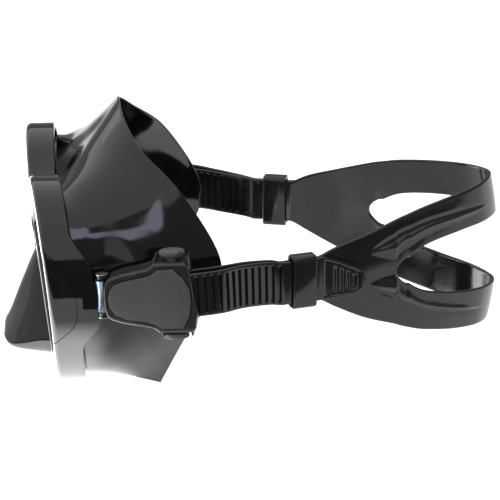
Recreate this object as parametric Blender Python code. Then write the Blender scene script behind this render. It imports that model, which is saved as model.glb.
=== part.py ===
"""Two-lens diving mask with a silicone skirt, a split head strap and push-button swivel buckles.

Every shape is written in millimetres in the mask's own axes: x to the wearer's left, y from the lenses
back towards the head, z up. The empty mask_origin moves all of it so that the origin of the world lies
under the middle of the object, on the surface that it stands on.
"""

import math

import bmesh
import bpy
from mathutils import Matrix, Vector

MM = 0.001
GAP = 0.3  # between pieces that touch
ORIGIN = (0.0, 109.8812, 3.963)  # the point of the mask's own axes that becomes the world's origin

# The front plane of the frame: the lenses lean back towards the chin and wrap a little round the face.
FRONT_Y = 2.0
FRONT_TOP_Z = 112.0
LAY_BACK = 0.105
WRAP = 0.05

# Depths behind that front plane.
BEZEL_DEPTH = 2.4
LIP_DEPTH = 4.5
LENS_FACE, LENS_FRONT, LENS_BACK = 2.6, 4.8, 8.0  # the pane's raised face, its rim behind the lip, its back
SOCKET_FRONT, SOCKET_BACK = 8.3, 15.4
SKIRT_FRONT = 14.4
FRAME_DEPTH = 13.8
# How much deeper the frame is beside the temples, where the buckle hangs on it, at each height.
CHEEK_DEPTHS = [(37, 0), (40, 0.8), (45, 5), (50, 9), (56, 9.8), (66, 9), (75, 8), (81, 6.8), (86, 4.3), (90, 1.4), (93, 0)]
FRAME_WALL = 2.6
SKIRT_WALL = 1.8
LENS_OVERLAP = 2.0  # how far a lens reaches behind the lip

# Buckle: its own axes are u rearwards, v up and w outwards, from the swivel pin.
PIN_AT = (81.0, 36.0, 66.0)
BUCKLE_YAW, BUCKLE_PITCH = math.radians(10), math.radians(3)
PIN_R = 1.25
PIN_BORE_R = 1.65
LUG_R, LUG_HALF = 2.9, 7.6
EAR_R, EAR_HALF = 3.3, 9.9
ROLLER_U, ROLLER_R = 26.0, 2.0
ROLLER_GAP = 0.4
BUTTON_U = 32.5
BUTTON_CAP = (5.9, 4.3, 3.2)  # half length, half width and thickness of the oval cap
BUTTON_UNDER = 18.2  # v of the underside of the cap
CHEEK_TOP = 16.3
CHEEK_IN = 10.9
BASE_W = (-5.5, -4.6)
COVER_W = (5.9, 6.7, 7.5)  # back of the cover, floor of the pad's recess, front
PAWL_U, PAWL_W = 12.0, 4.1

# Strap
STRAP_T = 1.9
STRAP_HALF = 10.25
LAYER_W = ROLLER_R + ROLLER_GAP + STRAP_T / 2  # each layer's middle, either side of the roller
GROOVES, GROOVE_PITCH, GROOVE_WIDTH, GROOVE_DEPTH = 17, 3.75, 1.8, 0.8
RIM = 2.0
KEEPER_AT = (65.6, 128.5, 65.4)
KEEPER_TURN = math.radians(17)
KEEPER_LENGTH = 11.5

LEFT, RIGHT = 1, -1
SIDE_NAME = {LEFT: "left", RIGHT: "right"}

COLOURS = {
    "silicone": ((0.012, 0.012, 0.013), 0.22, 0.0),
    "gloss_plastic": ((0.010, 0.010, 0.011), 0.12, 0.0),
    "matte_plastic": ((0.030, 0.030, 0.031), 0.55, 0.0),
    "glass": ((0.62, 0.70, 0.70), 0.03, 0.0),
    "steel": ((0.60, 0.60, 0.61), 0.30, 1.0),
    "strap": ((0.016, 0.016, 0.016), 0.38, 0.0),
}


# ---------------------------------------------------------------- tools


def clear_scene():
    for obj in list(bpy.data.objects):
        bpy.data.objects.remove(obj)


def make_materials():
    made = {}
    for name, (colour, roughness, metallic) in COLOURS.items():
        material = bpy.data.materials.new(name)
        material.use_nodes = True
        shader = material.node_tree.nodes["Principled BSDF"]
        shader.inputs["Base Color"].default_value = (*colour, 1.0)
        shader.inputs["Roughness"].default_value = roughness
        shader.inputs["Metallic"].default_value = metallic
        made[name] = material
    return made


def add_empty(name, matrix, parent=None):
    empty = bpy.data.objects.new(name, None)
    bpy.context.scene.collection.objects.link(empty)
    empty.parent = parent
    empty.matrix_local = matrix
    return empty


def add_object(name, points, faces, material, parent):
    """One object from points in millimetres, with its faces pointing out and shaded smooth."""
    mesh = bpy.data.meshes.new(name)
    work = bmesh.new()
    verts = [work.verts.new(Vector(p) * MM) for p in points]
    for face in faces:
        work.faces.new([verts[i] for i in face])
    bmesh.ops.recalc_face_normals(work, faces=work.faces)
    work.to_mesh(mesh)
    work.free()
    mesh.shade_smooth()
    mesh.set_sharp_from_angle(angle=math.radians(35))
    obj = bpy.data.objects.new(name, mesh)
    bpy.context.scene.collection.objects.link(obj)
    obj.parent = parent
    if material is not None:
        mesh.materials.append(MATERIALS[material])
    return obj


def helper(name, points, faces, parent):
    """A cutter or a guide, which isn't part of the object."""
    obj = add_object(name, points, faces, None, parent)
    obj.hide_render = True
    obj.display_type = "WIRE"
    return obj


def boolean(obj, operation, other):
    modifier = obj.modifiers.new(operation.lower(), "BOOLEAN")
    modifier.operation = operation
    modifier.object = other
    modifier.solver = "EXACT"


def smoothstep(low, high, value):
    t = min(1.0, max(0.0, (value - low) / (high - low)))
    return t * t * (3 - 2 * t)


def between(table, value):
    """The table's value at a place between its rows, and its end values beyond them."""
    if value <= table[0][0]:
        return table[0][1]
    for (a, low), (b, high) in zip(table, table[1:]):
        if value <= b:
            return low + (high - low) * (value - a) / (b - a)
    return table[-1][1]


def spline(points, steps, closed=False):
    """Points along the Catmull-Rom curve through the given ones, in any number of dimensions."""
    count = len(points)
    spans = count if closed else count - 1
    out = []
    for i in range(spans):
        if closed:
            a, b, c, d = (points[(i + k) % count] for k in (-1, 0, 1, 2))
        else:
            a, b = points[max(i - 1, 0)], points[i]
            c, d = points[i + 1], points[min(i + 2, count - 1)]
        for k in range(steps):
            t = k / steps
            weights = (
                (-t + 2 * t * t - t**3) / 2,
                (2 - 5 * t * t + 3 * t**3) / 2,
                (t + 4 * t * t - 3 * t**3) / 2,
                (-t * t + t**3) / 2,
            )
            out.append(tuple(sum(w * p[n] for w, p in zip(weights, (a, b, c, d))) for n in range(len(b))))
    if not closed:
        out.append(tuple(points[-1]))
    return out


def grown(outline, distance):
    """A closed outline moved out by a distance, or in by a negative one."""
    count = len(outline)
    area = sum(
        outline[i][0] * outline[(i + 1) % count][1] - outline[(i + 1) % count][0] * outline[i][1]
        for i in range(count)
    )
    turn = 1 if area > 0 else -1
    moved = []
    for i in range(count):
        before, after = outline[i - 1], outline[(i + 1) % count]
        along = Vector((after[0] - before[0], after[1] - before[1])).normalized() * turn * distance
        moved.append((outline[i][0] + along.y, outline[i][1] - along.x))
    return moved


def loft(rings, capped=True):
    """Points and faces of a skin over rings of equal length, closed at both ends."""
    count = len(rings[0])
    points = [p for ring in rings for p in ring]
    faces = []
    for r in range(len(rings) - 1):
        for i in range(count):
            j = (i + 1) % count
            faces.append((r * count + i, r * count + j, (r + 1) * count + j, (r + 1) * count + i))
    if capped:
        faces.append(tuple(range(count)))
        faces.append(tuple((len(rings) - 1) * count + i for i in range(count)))
    return points, faces


def circle(radius, count, centre=(0.0, 0.0), squash=1.0):
    steps = [2 * math.pi * i / count for i in range(count)]
    return [(centre[0] + radius * math.cos(a), centre[1] + squash * radius * math.sin(a)) for a in steps]


# ---------------------------------------------------------------- frame, lenses and bezels


def front_y(x, z):
    return FRONT_Y + LAY_BACK * (FRONT_TOP_Z - z) + WRAP * abs(x)


def on_front(outline, depth):
    """A front-view outline as a ring at a depth behind the front plane, or at depth(x, z)."""
    ring = []
    for x, z in outline:
        d = depth(x, z) if callable(depth) else depth
        ring.append((x, front_y(x, z) + d, z))
    return ring


def frame_outline():
    half = [
        (0, 93), (13, 97.5), (29, 108), (48, 112), (66, 106.5), (77, 93), (80.4, 74), (78.4, 52),
        (70.5, 32), (59, 17.5), (46.5, 13.5), (35.5, 18), (27.5, 31), (20.5, 48), (14, 64), (6.5, 73.5),
        (0, 76),
    ]  # fmt: skip
    mirrored = [(-x, z) for x, z in half[1:-1]][::-1]
    return spline(half + mirrored, 3, closed=True)


def lens_outline(side):
    half = [
        (13.5, 84), (28, 98), (46, 102.3), (61, 98), (70, 86), (72.3, 70), (69.5, 51), (62, 34.5),
        (51, 23.5), (42.5, 24), (35, 34), (27.5, 49), (19.5, 66), (14, 76),
    ]  # fmt: skip
    return [(side * x, z) for x, z in spline(half, 3, closed=True)]


def frame_back(x, z):
    return FRAME_DEPTH + smoothstep(50, 66, abs(x)) * between(CHEEK_DEPTHS, z)


def halves(ring_start, count):
    """Two faces that close a ring which starts and turns back at x = 0, one on each side of the fold."""
    middle = count // 2
    left = [ring_start + i for i in range(middle + 1)]
    right = [ring_start + i for i in range(middle, count)] + [ring_start]
    return [left, right]


def frame_shell(outline):
    """The cup that the frame and both bezels are cut from, with a rounded front edge."""
    wall = grown(outline, -FRAME_WALL)
    rings = [
        on_front(grown(outline, -2.0), 0.0),
        on_front(grown(outline, -0.7), 0.5),
        on_front(outline, 2.2),
        on_front(outline, lambda x, z: frame_back(x, z) - 1.0),
        on_front(grown(outline, -0.6), frame_back),
        on_front(grown(wall, 0.6), frame_back),
        on_front(wall, lambda x, z: frame_back(x, z) - 0.8),
        on_front(wall, LIP_DEPTH),
    ]
    points, faces = loft(rings, capped=False)
    count = len(outline)
    faces += halves(0, count) + halves((len(rings) - 1) * count, count)
    return points, faces


def bridge():
    """The part of the frame over the nose, which stands out a little from the front plane."""
    rings = []
    for x in (-12.6, -10, -6.5, -3, 0, 3, 6.5, 10, 12.6):
        top, bottom = 93 + 0.026 * x * x - 1.2, 75.8 - 0.052 * x * x + 0.6
        out = 2.1 * (1 - (x / 13.5) ** 2)
        middle = (top + bottom) / 2
        rings.append([
            (x, front_y(x, top) + 4.0, top), (x, front_y(x, top) + 1.0, top),
            (x, front_y(x, top - 3) - 0.15 * out, top - 3), (x, front_y(x, middle) - 0.65 * out, middle),
            (x, front_y(x, bottom + 2) - out, bottom + 2), (x, front_y(x, bottom) - 0.6 * out, bottom + 0.4),
            (x, front_y(x, bottom) + 4.0, bottom),
        ])  # fmt: skip
    return loft(rings)


def prism_x(profile, x0, x1):
    """A (y, z) profile extruded along x."""
    return loft([[(x0, y, z) for y, z in profile], [(x1, y, z) for y, z in profile]])


def bezel_lobe(margin):
    """Where the bezel wraps back over the side of the frame: front_y at the rim, deepest beside the lens."""
    rear = [(9.0, 87), (14.7, 81.2), (19.6, 75.5), (22.9, 66), (24.1, 57), (22.6, 50.3), (18.2, 45.2), (12.5, 40.0)]
    curve = grown(spline(rear, 2) + [(-20, 36), (-20, 90)], margin)
    return curve


def add_front(parent):
    outline = frame_outline()
    frame = add_object("frame", *frame_shell(outline), "gloss_plastic", parent)
    over_nose = helper("add_bridge", *bridge(), parent)
    boolean(frame, "UNION", over_nose)
    for side in (LEFT, RIGHT):
        name = SIDE_NAME[side]
        window = lens_outline(side)
        hole = helper(f"cut_window_{name}", *loft([on_front(window, -8.0), on_front(window, 20.0)]), parent)
        boolean(frame, "DIFFERENCE", hole)
        for margin, purpose in ((GAP, "clearance"), (0.0, "bezel")):
            shape = bezel_volume(side, margin)
            cutter = helper(f"cut_{purpose}_{name}", *shape[0], parent)
            boolean(cutter, "UNION", helper(f"cut_{purpose}_lobe_{name}", *shape[1], parent))
            if purpose == "clearance":
                boolean(frame, "DIFFERENCE", cutter)
                continue
            bezel = add_object(f"bezel_{name}", *frame_shell(outline), "gloss_plastic", parent)
            boolean(bezel, "UNION", over_nose)
            boolean(bezel, "DIFFERENCE", hole)
            boolean(bezel, "INTERSECT", cutter)
        rim, face = grown(window, LENS_OVERLAP), grown(window, -2 * GAP)
        rings = [on_front(rim, LENS_BACK), on_front(rim, LENS_FRONT), on_front(face, LENS_FRONT), on_front(face, LENS_FACE)]
        add_object(f"lens_{name}", *loft(rings), "glass", parent)
        add_lug(frame, side, parent)


def bezel_volume(side, margin):
    """The space of one bezel: a slab round the lens and the lobe on the side of the frame."""
    round_lens = grown(lens_outline(side), 5.2 + margin)
    slab = loft([on_front(round_lens, -6.0), on_front(round_lens, BEZEL_DEPTH + margin)])
    near, far = (60.0, 100.0) if side == LEFT else (-100.0, -60.0)
    return slab, prism_x(bezel_lobe(margin), near, far)


# ---------------------------------------------------------------- skirt


def skirt_rings():
    """The skirt's outer surface, from the wall behind the lenses to the edge that seals on the face.

    Nine points for each ring, from the middle of the forehead round the wearer's left to the upper lip.
    """
    wall = [(0, 90), (24, 101), (50, 107), (69, 97.3), (76.2, 78), (74.2, 54), (65, 29.5), (47, 15.5), (0, 12)]
    rings = [on_front(wall, SKIRT_FRONT)]
    rings.append([
        (0, 22, 99), (24, 23, 107), (50, 25, 110), (68.5, 31, 98), (73.6, 37, 78), (72.6, 41, 54),
        (65, 36, 29.5), (46, 36, 12), (0, 34, 11),
    ])  # fmt: skip
    rings.append([
        (0, 32, 118), (22, 33, 119), (47, 38, 113), (66, 47, 98), (73.5, 53, 77), (72, 54, 55),
        (61, 48, 31), (41, 48, 8.5), (0, 45, 10),
    ])  # fmt: skip
    rings.append([
        (0, 41, 129.5), (19.5, 43, 128), (41, 53, 117), (60, 66, 98.5), (69, 73, 75), (67, 69, 53.5),
        (56, 61, 32), (36.5, 57, 6.5), (0, 53, 9),
    ])  # fmt: skip
    rings.append([
        (0, 47.5, 137), (17, 50.5, 133.5), (34, 61.5, 121.5), (52, 78, 100), (60, 91, 72), (58, 84, 51),
        (48.5, 75, 32.5), (31, 64.5, 5), (0, 59, 8),
    ])  # fmt: skip
    return rings


def full_ring(half, steps):
    mirrored = [(-p[0], *p[1:]) for p in half[1:-1]][::-1]
    return spline(half + mirrored, steps, closed=True)


def nose_rings(wall, back_y):
    """Sections of the nose pocket from back to front, shrunk by a wall thickness."""
    sections = [(back_y, 74.0, 14.0, 1.0), (16, 72.0, 14.8, 1.0), (8, 66.5, 15.8, 0.97), (0, 49.5, 17.0, 0.88),
                (-5.5, 36.0, 18.8, 0.78), (-8.2, 30.5, 21.3, 0.64), (-9.3, 27.6, 24.2, 0.36)]  # fmt: skip
    rings = []
    for y, top, bottom, width in sections:
        tall = top - bottom
        half = [
            (0, top - wall), (0.30 * 22 * width - wall * 0.6, top - 0.03 * tall - wall),
            (0.52 * 22 * width - wall, top - 0.28 * tall), (0.80 * 22 * width - wall, bottom + 0.32 * tall),
            (0.92 * 22 * width - wall, bottom + 0.13 * tall), (0.70 * 22 * width - wall, bottom + 0.01 * tall + wall),
            (0, bottom + wall),
        ]  # fmt: skip
        outline = full_ring([(x, z) for x, z in half], 3)
        rings.append([(x, y + wall * (1 if y < 0 else 0), z) for x, z in outline])
    return rings


def add_skirt(parent):
    rings = [full_ring(ring, 3) for ring in skirt_rings()]
    columns = [spline(column, 2) for column in zip(*rings)]
    rings = [list(ring) for ring in zip(*columns)]
    points, faces = loft(rings, capped=False)
    faces += halves(0, len(rings[0]))
    skirt = add_object("skirt", points, faces, "silicone", parent)
    thick = skirt.modifiers.new("wall", "SOLIDIFY")
    thick.thickness = SKIRT_WALL * MM
    thick.offset = -1
    boolean(skirt, "UNION", helper("add_nose", *loft(nose_rings(0.0, 28.0)), parent))
    for side in (LEFT, RIGHT):
        name = SIDE_NAME[side]
        window = lens_outline(side)
        socket = grown(window, 2.6)
        shape = loft([on_front(socket, SOCKET_FRONT), on_front(socket, SOCKET_BACK)])
        boolean(skirt, "UNION", helper(f"add_socket_{name}", *shape, parent))
        inside = grown(window, 0.8)
        shape = loft([on_front(inside, SOCKET_FRONT - 3), on_front(inside, SOCKET_BACK + 6)])
        boolean(skirt, "DIFFERENCE", helper(f"cut_socket_{name}", *shape, parent))
    boolean(skirt, "DIFFERENCE", helper("cut_nose", *loft(nose_rings(SKIRT_WALL, 36.0)), parent))


# ---------------------------------------------------------------- buckles


def buckle_axes(side):
    """The buckle's axes in the mask's: u rearwards, v up, and the third outwards on the left side."""
    u = Vector((side * math.sin(BUCKLE_YAW) * math.cos(BUCKLE_PITCH),
                math.cos(BUCKLE_YAW) * math.cos(BUCKLE_PITCH), math.sin(BUCKLE_PITCH)))  # fmt: skip
    w = Vector((math.cos(BUCKLE_YAW), -side * math.sin(BUCKLE_YAW), 0.0))
    v = w.cross(u)
    return u, v, w


def buckle_matrix(side):
    u, v, w = buckle_axes(side)
    matrix = Matrix((u, v, w)).transposed().to_4x4()
    matrix.translation = Vector((side * PIN_AT[0], *PIN_AT[1:])) * MM
    return matrix


def outward(shape, side):
    """A shape in buckle axes, with w turned so that it points away from the head on either side."""
    points, faces = shape
    return [(u, v, side * w) for u, v, w in points], faces


def slab_w(outline, w0, w1, edge=0.0):
    """A (u, v) outline extruded along w, with its outer edge rounded by a step."""
    rings = [[(u, v, w0) for u, v in outline], [(u, v, w1 - edge) for u, v in outline]]
    if edge:
        rings.append([(u, v, w1) for u, v in grown(outline, -edge)])
    return loft(rings)


def rod_v(u, w, radius, v0, v1, count=16, squash=1.0):
    """A rod along v."""
    ring = circle(radius, count, (u, w), squash)
    return loft([[(a, v0, b) for a, b in ring], [(a, v1, b) for a, b in ring]])


def box(u, v, w):
    corners = [(u[0], v[0]), (u[1], v[0]), (u[1], v[1]), (u[0], v[1])]
    return slab_w(corners, *w)


def housing_outline():
    """The buckle seen from the side: narrow at the swivel, with shoulders that hold the buttons."""
    upper = [(1.2, 0), (1.5, 5.0), (2.6, 8.2), (4.6, 9.8), (10, 11.6), (19.5, 13.4), (22.5, 14.4),
             (24.8, CHEEK_TOP), (38.4, CHEEK_TOP), (40.0, 14.6), (41.3, 8.0), (42.0, 0)]  # fmt: skip
    lower = [(u + 2.2 * smoothstep(10, 36, u), -v) for u, v in upper[1:-1]][::-1]
    return upper + lower


def pad_outline():
    return [(3.4, 0), (4.0, 3.8), (6.2, 6.9), (11, 8.6), (19.3, 10.2), (22.9, 11.2), (26.2, 13.6), (34.4, 13.9),
            (38.6, 9.4), (40.6, 4.0), (40.8, -2.5), (39.6, -9.0), (36.6, -14.2), (27.6, -14.2), (24.4, -12.4),
            (20.5, -10.9), (11, -9.4), (6.2, -7.2), (4.0, -4.0)]  # fmt: skip


def add_buckle(side, parent):
    name = SIDE_NAME[side]
    swivel = add_empty(f"swivel_{name}", buckle_matrix(side), parent)

    def piece(what, shape, material):
        return add_object(f"{what}_{name}", *outward(shape, side), material, swivel)

    def cutter(what, shape):
        return helper(f"cut_{what}_{name}", *outward(shape, side), swivel)

    outline = housing_outline()
    body = piece("buckle_body", slab_w(outline, BASE_W[0], COVER_W[0] - GAP), "gloss_plastic")
    inner = [(3.8, -7.9), (10, -9.0), (18, -CHEEK_IN), (60, -CHEEK_IN), (60, CHEEK_IN), (18, CHEEK_IN), (10, 9.0),
             (3.8, 7.9)]  # fmt: skip
    boolean(body, "DIFFERENCE", cutter("inside", slab_w(inner, BASE_W[1], 20.0)))
    boolean(body, "DIFFERENCE", cutter("behind", box((36.0, 60.0), (-CHEEK_IN, CHEEK_IN), (-20.0, 20.0))))
    boolean(body, "DIFFERENCE", cutter("swing", box((-20, 4.2), (-7.9, 7.9), (-20.0, 20.0))))
    for up in (1, -1):
        boolean(body, "UNION", cutter(f"ear_{up}", rod_v(0, 0, EAR_R, up * 7.9, up * EAR_HALF, 20)))
    boolean(body, "DIFFERENCE", cutter("pin", rod_v(0, 0, PIN_BORE_R, -30, 30)))
    boolean(body, "DIFFERENCE", cutter("roller_pin", rod_v(ROLLER_U, 0, 1.2, -13.6, 13.6, 12)))
    boolean(body, "DIFFERENCE", cutter("pawl_pin", rod_v(PAWL_U, PAWL_W, 1.05, -30, 30, 12)))
    for up in (1, -1):
        pocket = rod_v(BUTTON_U, 0, 3.4, up * 12.7, up * 30, 20)
        boolean(body, "DIFFERENCE", cutter(f"pocket_{up}", pocket))
        boolean(body, "DIFFERENCE", cutter(f"stem_{up}", rod_v(BUTTON_U, 0, 1.75, up * 8, up * 13, 16)))

    pad = pad_outline()
    cover = piece("buckle_cover", slab_w(outline, COVER_W[0], COVER_W[2], 0.7), "gloss_plastic")
    boolean(cover, "DIFFERENCE", cutter("pad", slab_w(grown(pad, GAP), COVER_W[1], 20.0)))
    piece("buckle_pad", slab_w(pad, COVER_W[1] + GAP, COVER_W[2] + 0.5, 0.5), "matte_plastic")

    piece("swivel_pin", rod_v(0, 0, PIN_R, -9.4, 9.4), "steel")
    roller = piece("strap_roller", rod_v(ROLLER_U, 0, ROLLER_R, -10.5, 10.5), "steel")
    boolean(roller, "DIFFERENCE", cutter("roller_bore", rod_v(ROLLER_U, 0, 1.2, -20, 20, 12)))
    piece("roller_pin", rod_v(ROLLER_U, 0, 0.85, -13.3, 13.3, 12), "steel")
    piece("pawl_pin", rod_v(PAWL_U, PAWL_W, 0.7, -10.8, 10.8, 12), "steel")
    add_pawl(piece, cutter)
    for up, level in ((1, "upper"), (-1, "lower")):
        add_button(piece, up, level)
        piece(f"button_spring_{level}", coil(up), "steel")


def add_pawl(piece, cutter):
    """The toothed plate under the cover. Its teeth stand in the strap's grooves over the roller."""
    pawl = piece("pawl", rod_v(PAWL_U, PAWL_W, 1.45, -8.6, 8.6), "matte_plastic")
    first = groove_starts()[0]
    boolean(pawl, "UNION", cutter("pawl_plate", box((PAWL_U, 34.0), (-8.6, 8.6), (4.55, 5.15))))
    for k in range(2):
        u = first + k * GROOVE_PITCH
        tooth = box((u + 1.5 * GAP, u + GROOVE_WIDTH - 1.5 * GAP), (-7.6, 7.6), (LAYER_W + STRAP_T / 2 - 0.4, 4.8))
        boolean(pawl, "UNION", cutter(f"tooth_{k}", tooth))
    boolean(pawl, "DIFFERENCE", cutter("pawl_bore", rod_v(PAWL_U, PAWL_W, 1.05, -30, 30, 12)))


def add_button(piece, up, level):
    """A knurled oval cap on a collar and a stem, which slide down into the cheek against a spring."""
    half_length, half_width, thickness = BUTTON_CAP
    flutes = 22
    top = BUTTON_UNDER + thickness
    base = []
    for i in range(2 * flutes):
        angle = math.pi * i / flutes
        bite = 1.0 if i % 2 else 0.94
        base.append((half_length * bite * math.cos(angle), half_width * bite * math.sin(angle)))
    inner = [(0.8 * a, 0.8 * b) for a, b in base]
    collar = circle(2.9, 2 * flutes)
    stem = circle(1.4, 2 * flutes)
    profile = [(stem, 11.3), (stem, 16.2), (collar, 16.2), (collar, BUTTON_UNDER), (base, BUTTON_UNDER),
               (base, top - 0.8), (inner, top)]  # fmt: skip
    rings = [[(BUTTON_U + a, up * v, b) for a, b in ring] for ring, v in profile]
    piece(f"button_{level}", loft(rings), "matte_plastic")


def coil(up):
    """A button's return spring: three turns of wire round the stem, in the cheek's pocket."""
    turns, per_turn, wire, radius = 3, 10, 0.28, 2.25
    low, high = 13.05 + wire, 15.85 - wire
    rings = []
    for i in range(turns * per_turn + 1):
        angle = 2 * math.pi * i / per_turn
        v = low + (high - low) * i / (turns * per_turn)
        ring = []
        for a, b in circle(wire, 5):
            r = radius + a
            ring.append((BUTTON_U + r * math.cos(angle), up * (v + b), r * math.sin(angle)))
        rings.append(ring)
    return loft(rings)


def add_lug(frame, side, parent):
    """The frame's own hinge lug: a barrel round the swivel pin on an arm behind the side wall."""
    matrix = buckle_matrix(side)

    def placed(what, shape):
        points, faces = outward(shape, side)
        world = [matrix @ (Vector(p) * MM) / MM for p in points]
        return helper(f"{what}_{SIDE_NAME[side]}", world, faces, parent)

    for up in (1, -1):
        boolean(frame, "DIFFERENCE", placed(f"cut_ear_{up}", rod_v(0, 0, EAR_R + 0.5, up * 7.65, up * 11.0, 20)))
    lug = placed("add_lug", rod_v(0, 0, LUG_R, -LUG_HALF, LUG_HALF, 24))
    boolean(lug, "UNION", placed("add_arm", box((-9.5, -1.0), (-6.4, 6.4), (-2.3, 1.1))))
    boolean(lug, "DIFFERENCE", placed("cut_lug", rod_v(0, 0, PIN_BORE_R, -30, 30)))
    boolean(frame, "UNION", lug)


# ---------------------------------------------------------------- strap and keepers


def in_mask(u, v, w, side=LEFT):
    """A point of the buckle's axes in the mask's, in millimetres."""
    return tuple(buckle_matrix(side) @ (Vector((u, v, side * w)) * MM) / MM)


def by_keeper(along, layer):
    """A point of the tail (1) or of the run under it (-1), in the straight stretch inside the keeper."""
    offset = layer * (STRAP_T + GAP) / 2
    sin, cos = math.sin(KEEPER_TURN), math.cos(KEEPER_TURN)
    x, y, z = KEEPER_AT
    return x + offset * cos - along * sin, y + offset * sin + along * cos, z


def strap_stations():
    """The left half of the strap from the tip of its tail, round the roller, to the back of the head.

    Each station holds x, y, z of the middle, the heights above and below it, the half height of the
    opening between the two bands, how far the strap leans forward for each unit of height, and how
    much it cups round the head.
    """
    even = (STRAP_HALF, STRAP_HALF, 0.0)
    tail = [
        ((59.4, 158.6, 63.0), (0.6, 0.6, 0.0), 0.0, 0.0), ((60.2, 155.8, 63.4), (5.4, 5.4, 0.0), 0.0, 0.0),
        ((61.7, 150.2, 64.0), (8.0, 8.0, 0.0), 0.0, 0.0), (by_keeper(12, 1), even, 0.0, 0.0),
        *((by_keeper(k, 1), even, 0.0, 0.0) for k in (7, 0, -7, -11)),
        ((72.6, 112.0, 66.6), even, -0.02, 0.0), ((79.5, 100.0, 67.8), even, -0.03, 0.0),
        ((87.4, 89.0, 68.2), even, -0.05, 0.0),
        (in_mask(40.5, 0, LAYER_W), even, -0.05, 0.0), (in_mask(33, 0, LAYER_W), even, -0.05, 0.0),
        (in_mask(ROLLER_U, 0, LAYER_W), even, -0.05, 0.0),
    ]  # fmt: skip
    turn = []
    for degrees in range(20, 180, 20):
        a = math.radians(degrees)
        at = in_mask(ROLLER_U - LAYER_W * math.sin(a), 0, LAYER_W * math.cos(a))
        turn.append((at, even, -0.05, 0.0))
    run = [
        (in_mask(ROLLER_U, 0, -LAYER_W), even, -0.05, 0.0), (in_mask(33, 0, -LAYER_W), even, -0.05, 0.0),
        (in_mask(40.5, 0, -LAYER_W), even, -0.05, 0.0), ((80.0, 90.5, 68.0), even, -0.05, 0.0),
        ((74.0, 101.5, 67.6), even, -0.03, 0.0), ((69.0, 113.0, 66.5), even, -0.02, 0.0),
        *((by_keeper(k, -1), even, 0.0, 0.0) for k in (-11, -7, 0, 6)),
        (by_keeper(9.5, -1), (10.8, 10.8, 0.0), 0.0, 0.0), ((60.2, 145.0, 65.2), (14.4, 15.0, 0.0), 0.0, 0.001),
        ((56.2, 159.0, 64.6), (19.0, 21.5, 0.0), 0.0, 0.002), ((50.4, 174.0, 63.8), (24.4, 26.5, 0.2), 0.0, 0.003),
        ((47.6, 180.0, 63.3), (26.4, 28.6, 6.0), 0.0, 0.003), ((42.3, 190.0, 62.6), (29.3, 31.5, 11.5), 0.0, 0.003),
        ((31.2, 207.0, 61.6), (32.6, 34.5, 15.0), 0.0, 0.003), ((17.2, 222.0, 60.8), (35.0, 36.0, 16.6), 0.0, 0.003),
        ((0.0, 229.0, 60.6), (36.2, 36.2, 17.2), 0.0, 0.003),
    ]  # fmt: skip
    return [(*at, *spans, lean, cup) for at, spans, lean, cup in tail + turn + run]


def dense_strap():
    """The stations joined by a smooth curve, each with its distance along the strap."""
    stations = strap_stations()
    beyond = stations[-2]
    rows = spline(stations + [(-beyond[0], *beyond[1:])], 12)[: 12 * (len(stations) - 1) + 1]
    length, out = 0.0, []
    for i, row in enumerate(rows):
        if i:
            length += (Vector(row[:3]) - Vector(rows[i - 1][:3])).length
        out.append((length, row))
    return out


def strap_at(dense, s):
    for (s0, a), (s1, b) in zip(dense, dense[1:]):
        if s <= s1:
            t = (s - s0) / max(s1 - s0, 1e-9)
            return [p + (q - p) * t for p, q in zip(a, b)]
    return list(dense[-1][1])


def groove_starts():
    """Where the tail's grooves start, in u from the roller rearwards along its straight stretch."""
    return [ROLLER_U + 1.4 + GROOVE_PITCH * k for k in range(GROOVES)]


def strap_columns(dense):
    """(distance, groove depth) of each column of the strap's mesh, from the tip to the back."""
    total = dense[-1][0]
    turn_start = next(s for s, row in dense if Vector(row[:3]) == Vector(in_mask_at_roller()))
    columns = [(s, 0.0) for s in (0.0, 1.2, 3.0, 6.0, 9.0, 13.0, 18.0, 24.0, 30.0, 36.0)]
    for u in reversed(groove_starts()):
        end, start = turn_start - (u - ROLLER_U), turn_start - (u + GROOVE_WIDTH - ROLLER_U)
        columns += [(start - 0.1, 0.0), (start + 0.1, GROOVE_DEPTH), (end - 0.1, GROOVE_DEPTH), (end + 0.1, 0.0)]
    turn = math.pi * LAYER_W
    columns += [(turn_start + turn * k / 8, 0.0) for k in range(9)]
    after = turn_start + turn
    count = 34
    columns += [(after + (total - after) * k / count, 0.0) for k in range(1, count + 1)]
    return columns


def in_mask_at_roller():
    return Vector(in_mask(ROLLER_U, 0, LAYER_W))


def strap_ribbon():
    """Points and faces of the whole strap as one closed band with an opening between its two arms."""
    dense = dense_strap()
    half = []
    for s, depth in strap_columns(dense):
        here = strap_at(dense, s)
        before, after = strap_at(dense, max(s - 0.6, 0.0)), strap_at(dense, min(s + 0.6, dense[-1][0]))
        along = Vector((after[0] - before[0], after[1] - before[1], 0)).normalized()
        if s >= dense[-1][0] - 1e-6:
            along = Vector((-1, 0, 0))
        out = Vector((-along.y, along.x, 0))
        half.append((here, depth, out))
    columns = [ribbon_column(here, depth, out) for here, depth, out in half]
    mirrored = []
    for here, depth, out in half[-2::-1]:
        flipped = [-here[0], *here[1:]]
        mirrored.append(ribbon_column(flipped, depth, Vector((-out.x, out.y, 0))))
    return ribbon_faces(columns + mirrored)


def ribbon_column(here, depth, out):
    """One column: its heights with the outer and the inner point at each, and whether it is open between."""
    x, y, z, up, down, opening, lean, cup = here
    rim = min(RIM, up * 0.4)
    heights = [up, up - rim, max(opening, 0.15), -max(opening, 0.15), -down + rim, -down]
    points = []
    for k, h in enumerate(heights):
        middle = Vector((x, y + lean * h, z + h)) + out * cup * h * h
        groove = depth if k in (1, 2, 3, 4) else 0.0
        points.append((middle + out * (STRAP_T / 2 - groove), middle - out * STRAP_T / 2))
    return points, opening > 0.3


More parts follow.
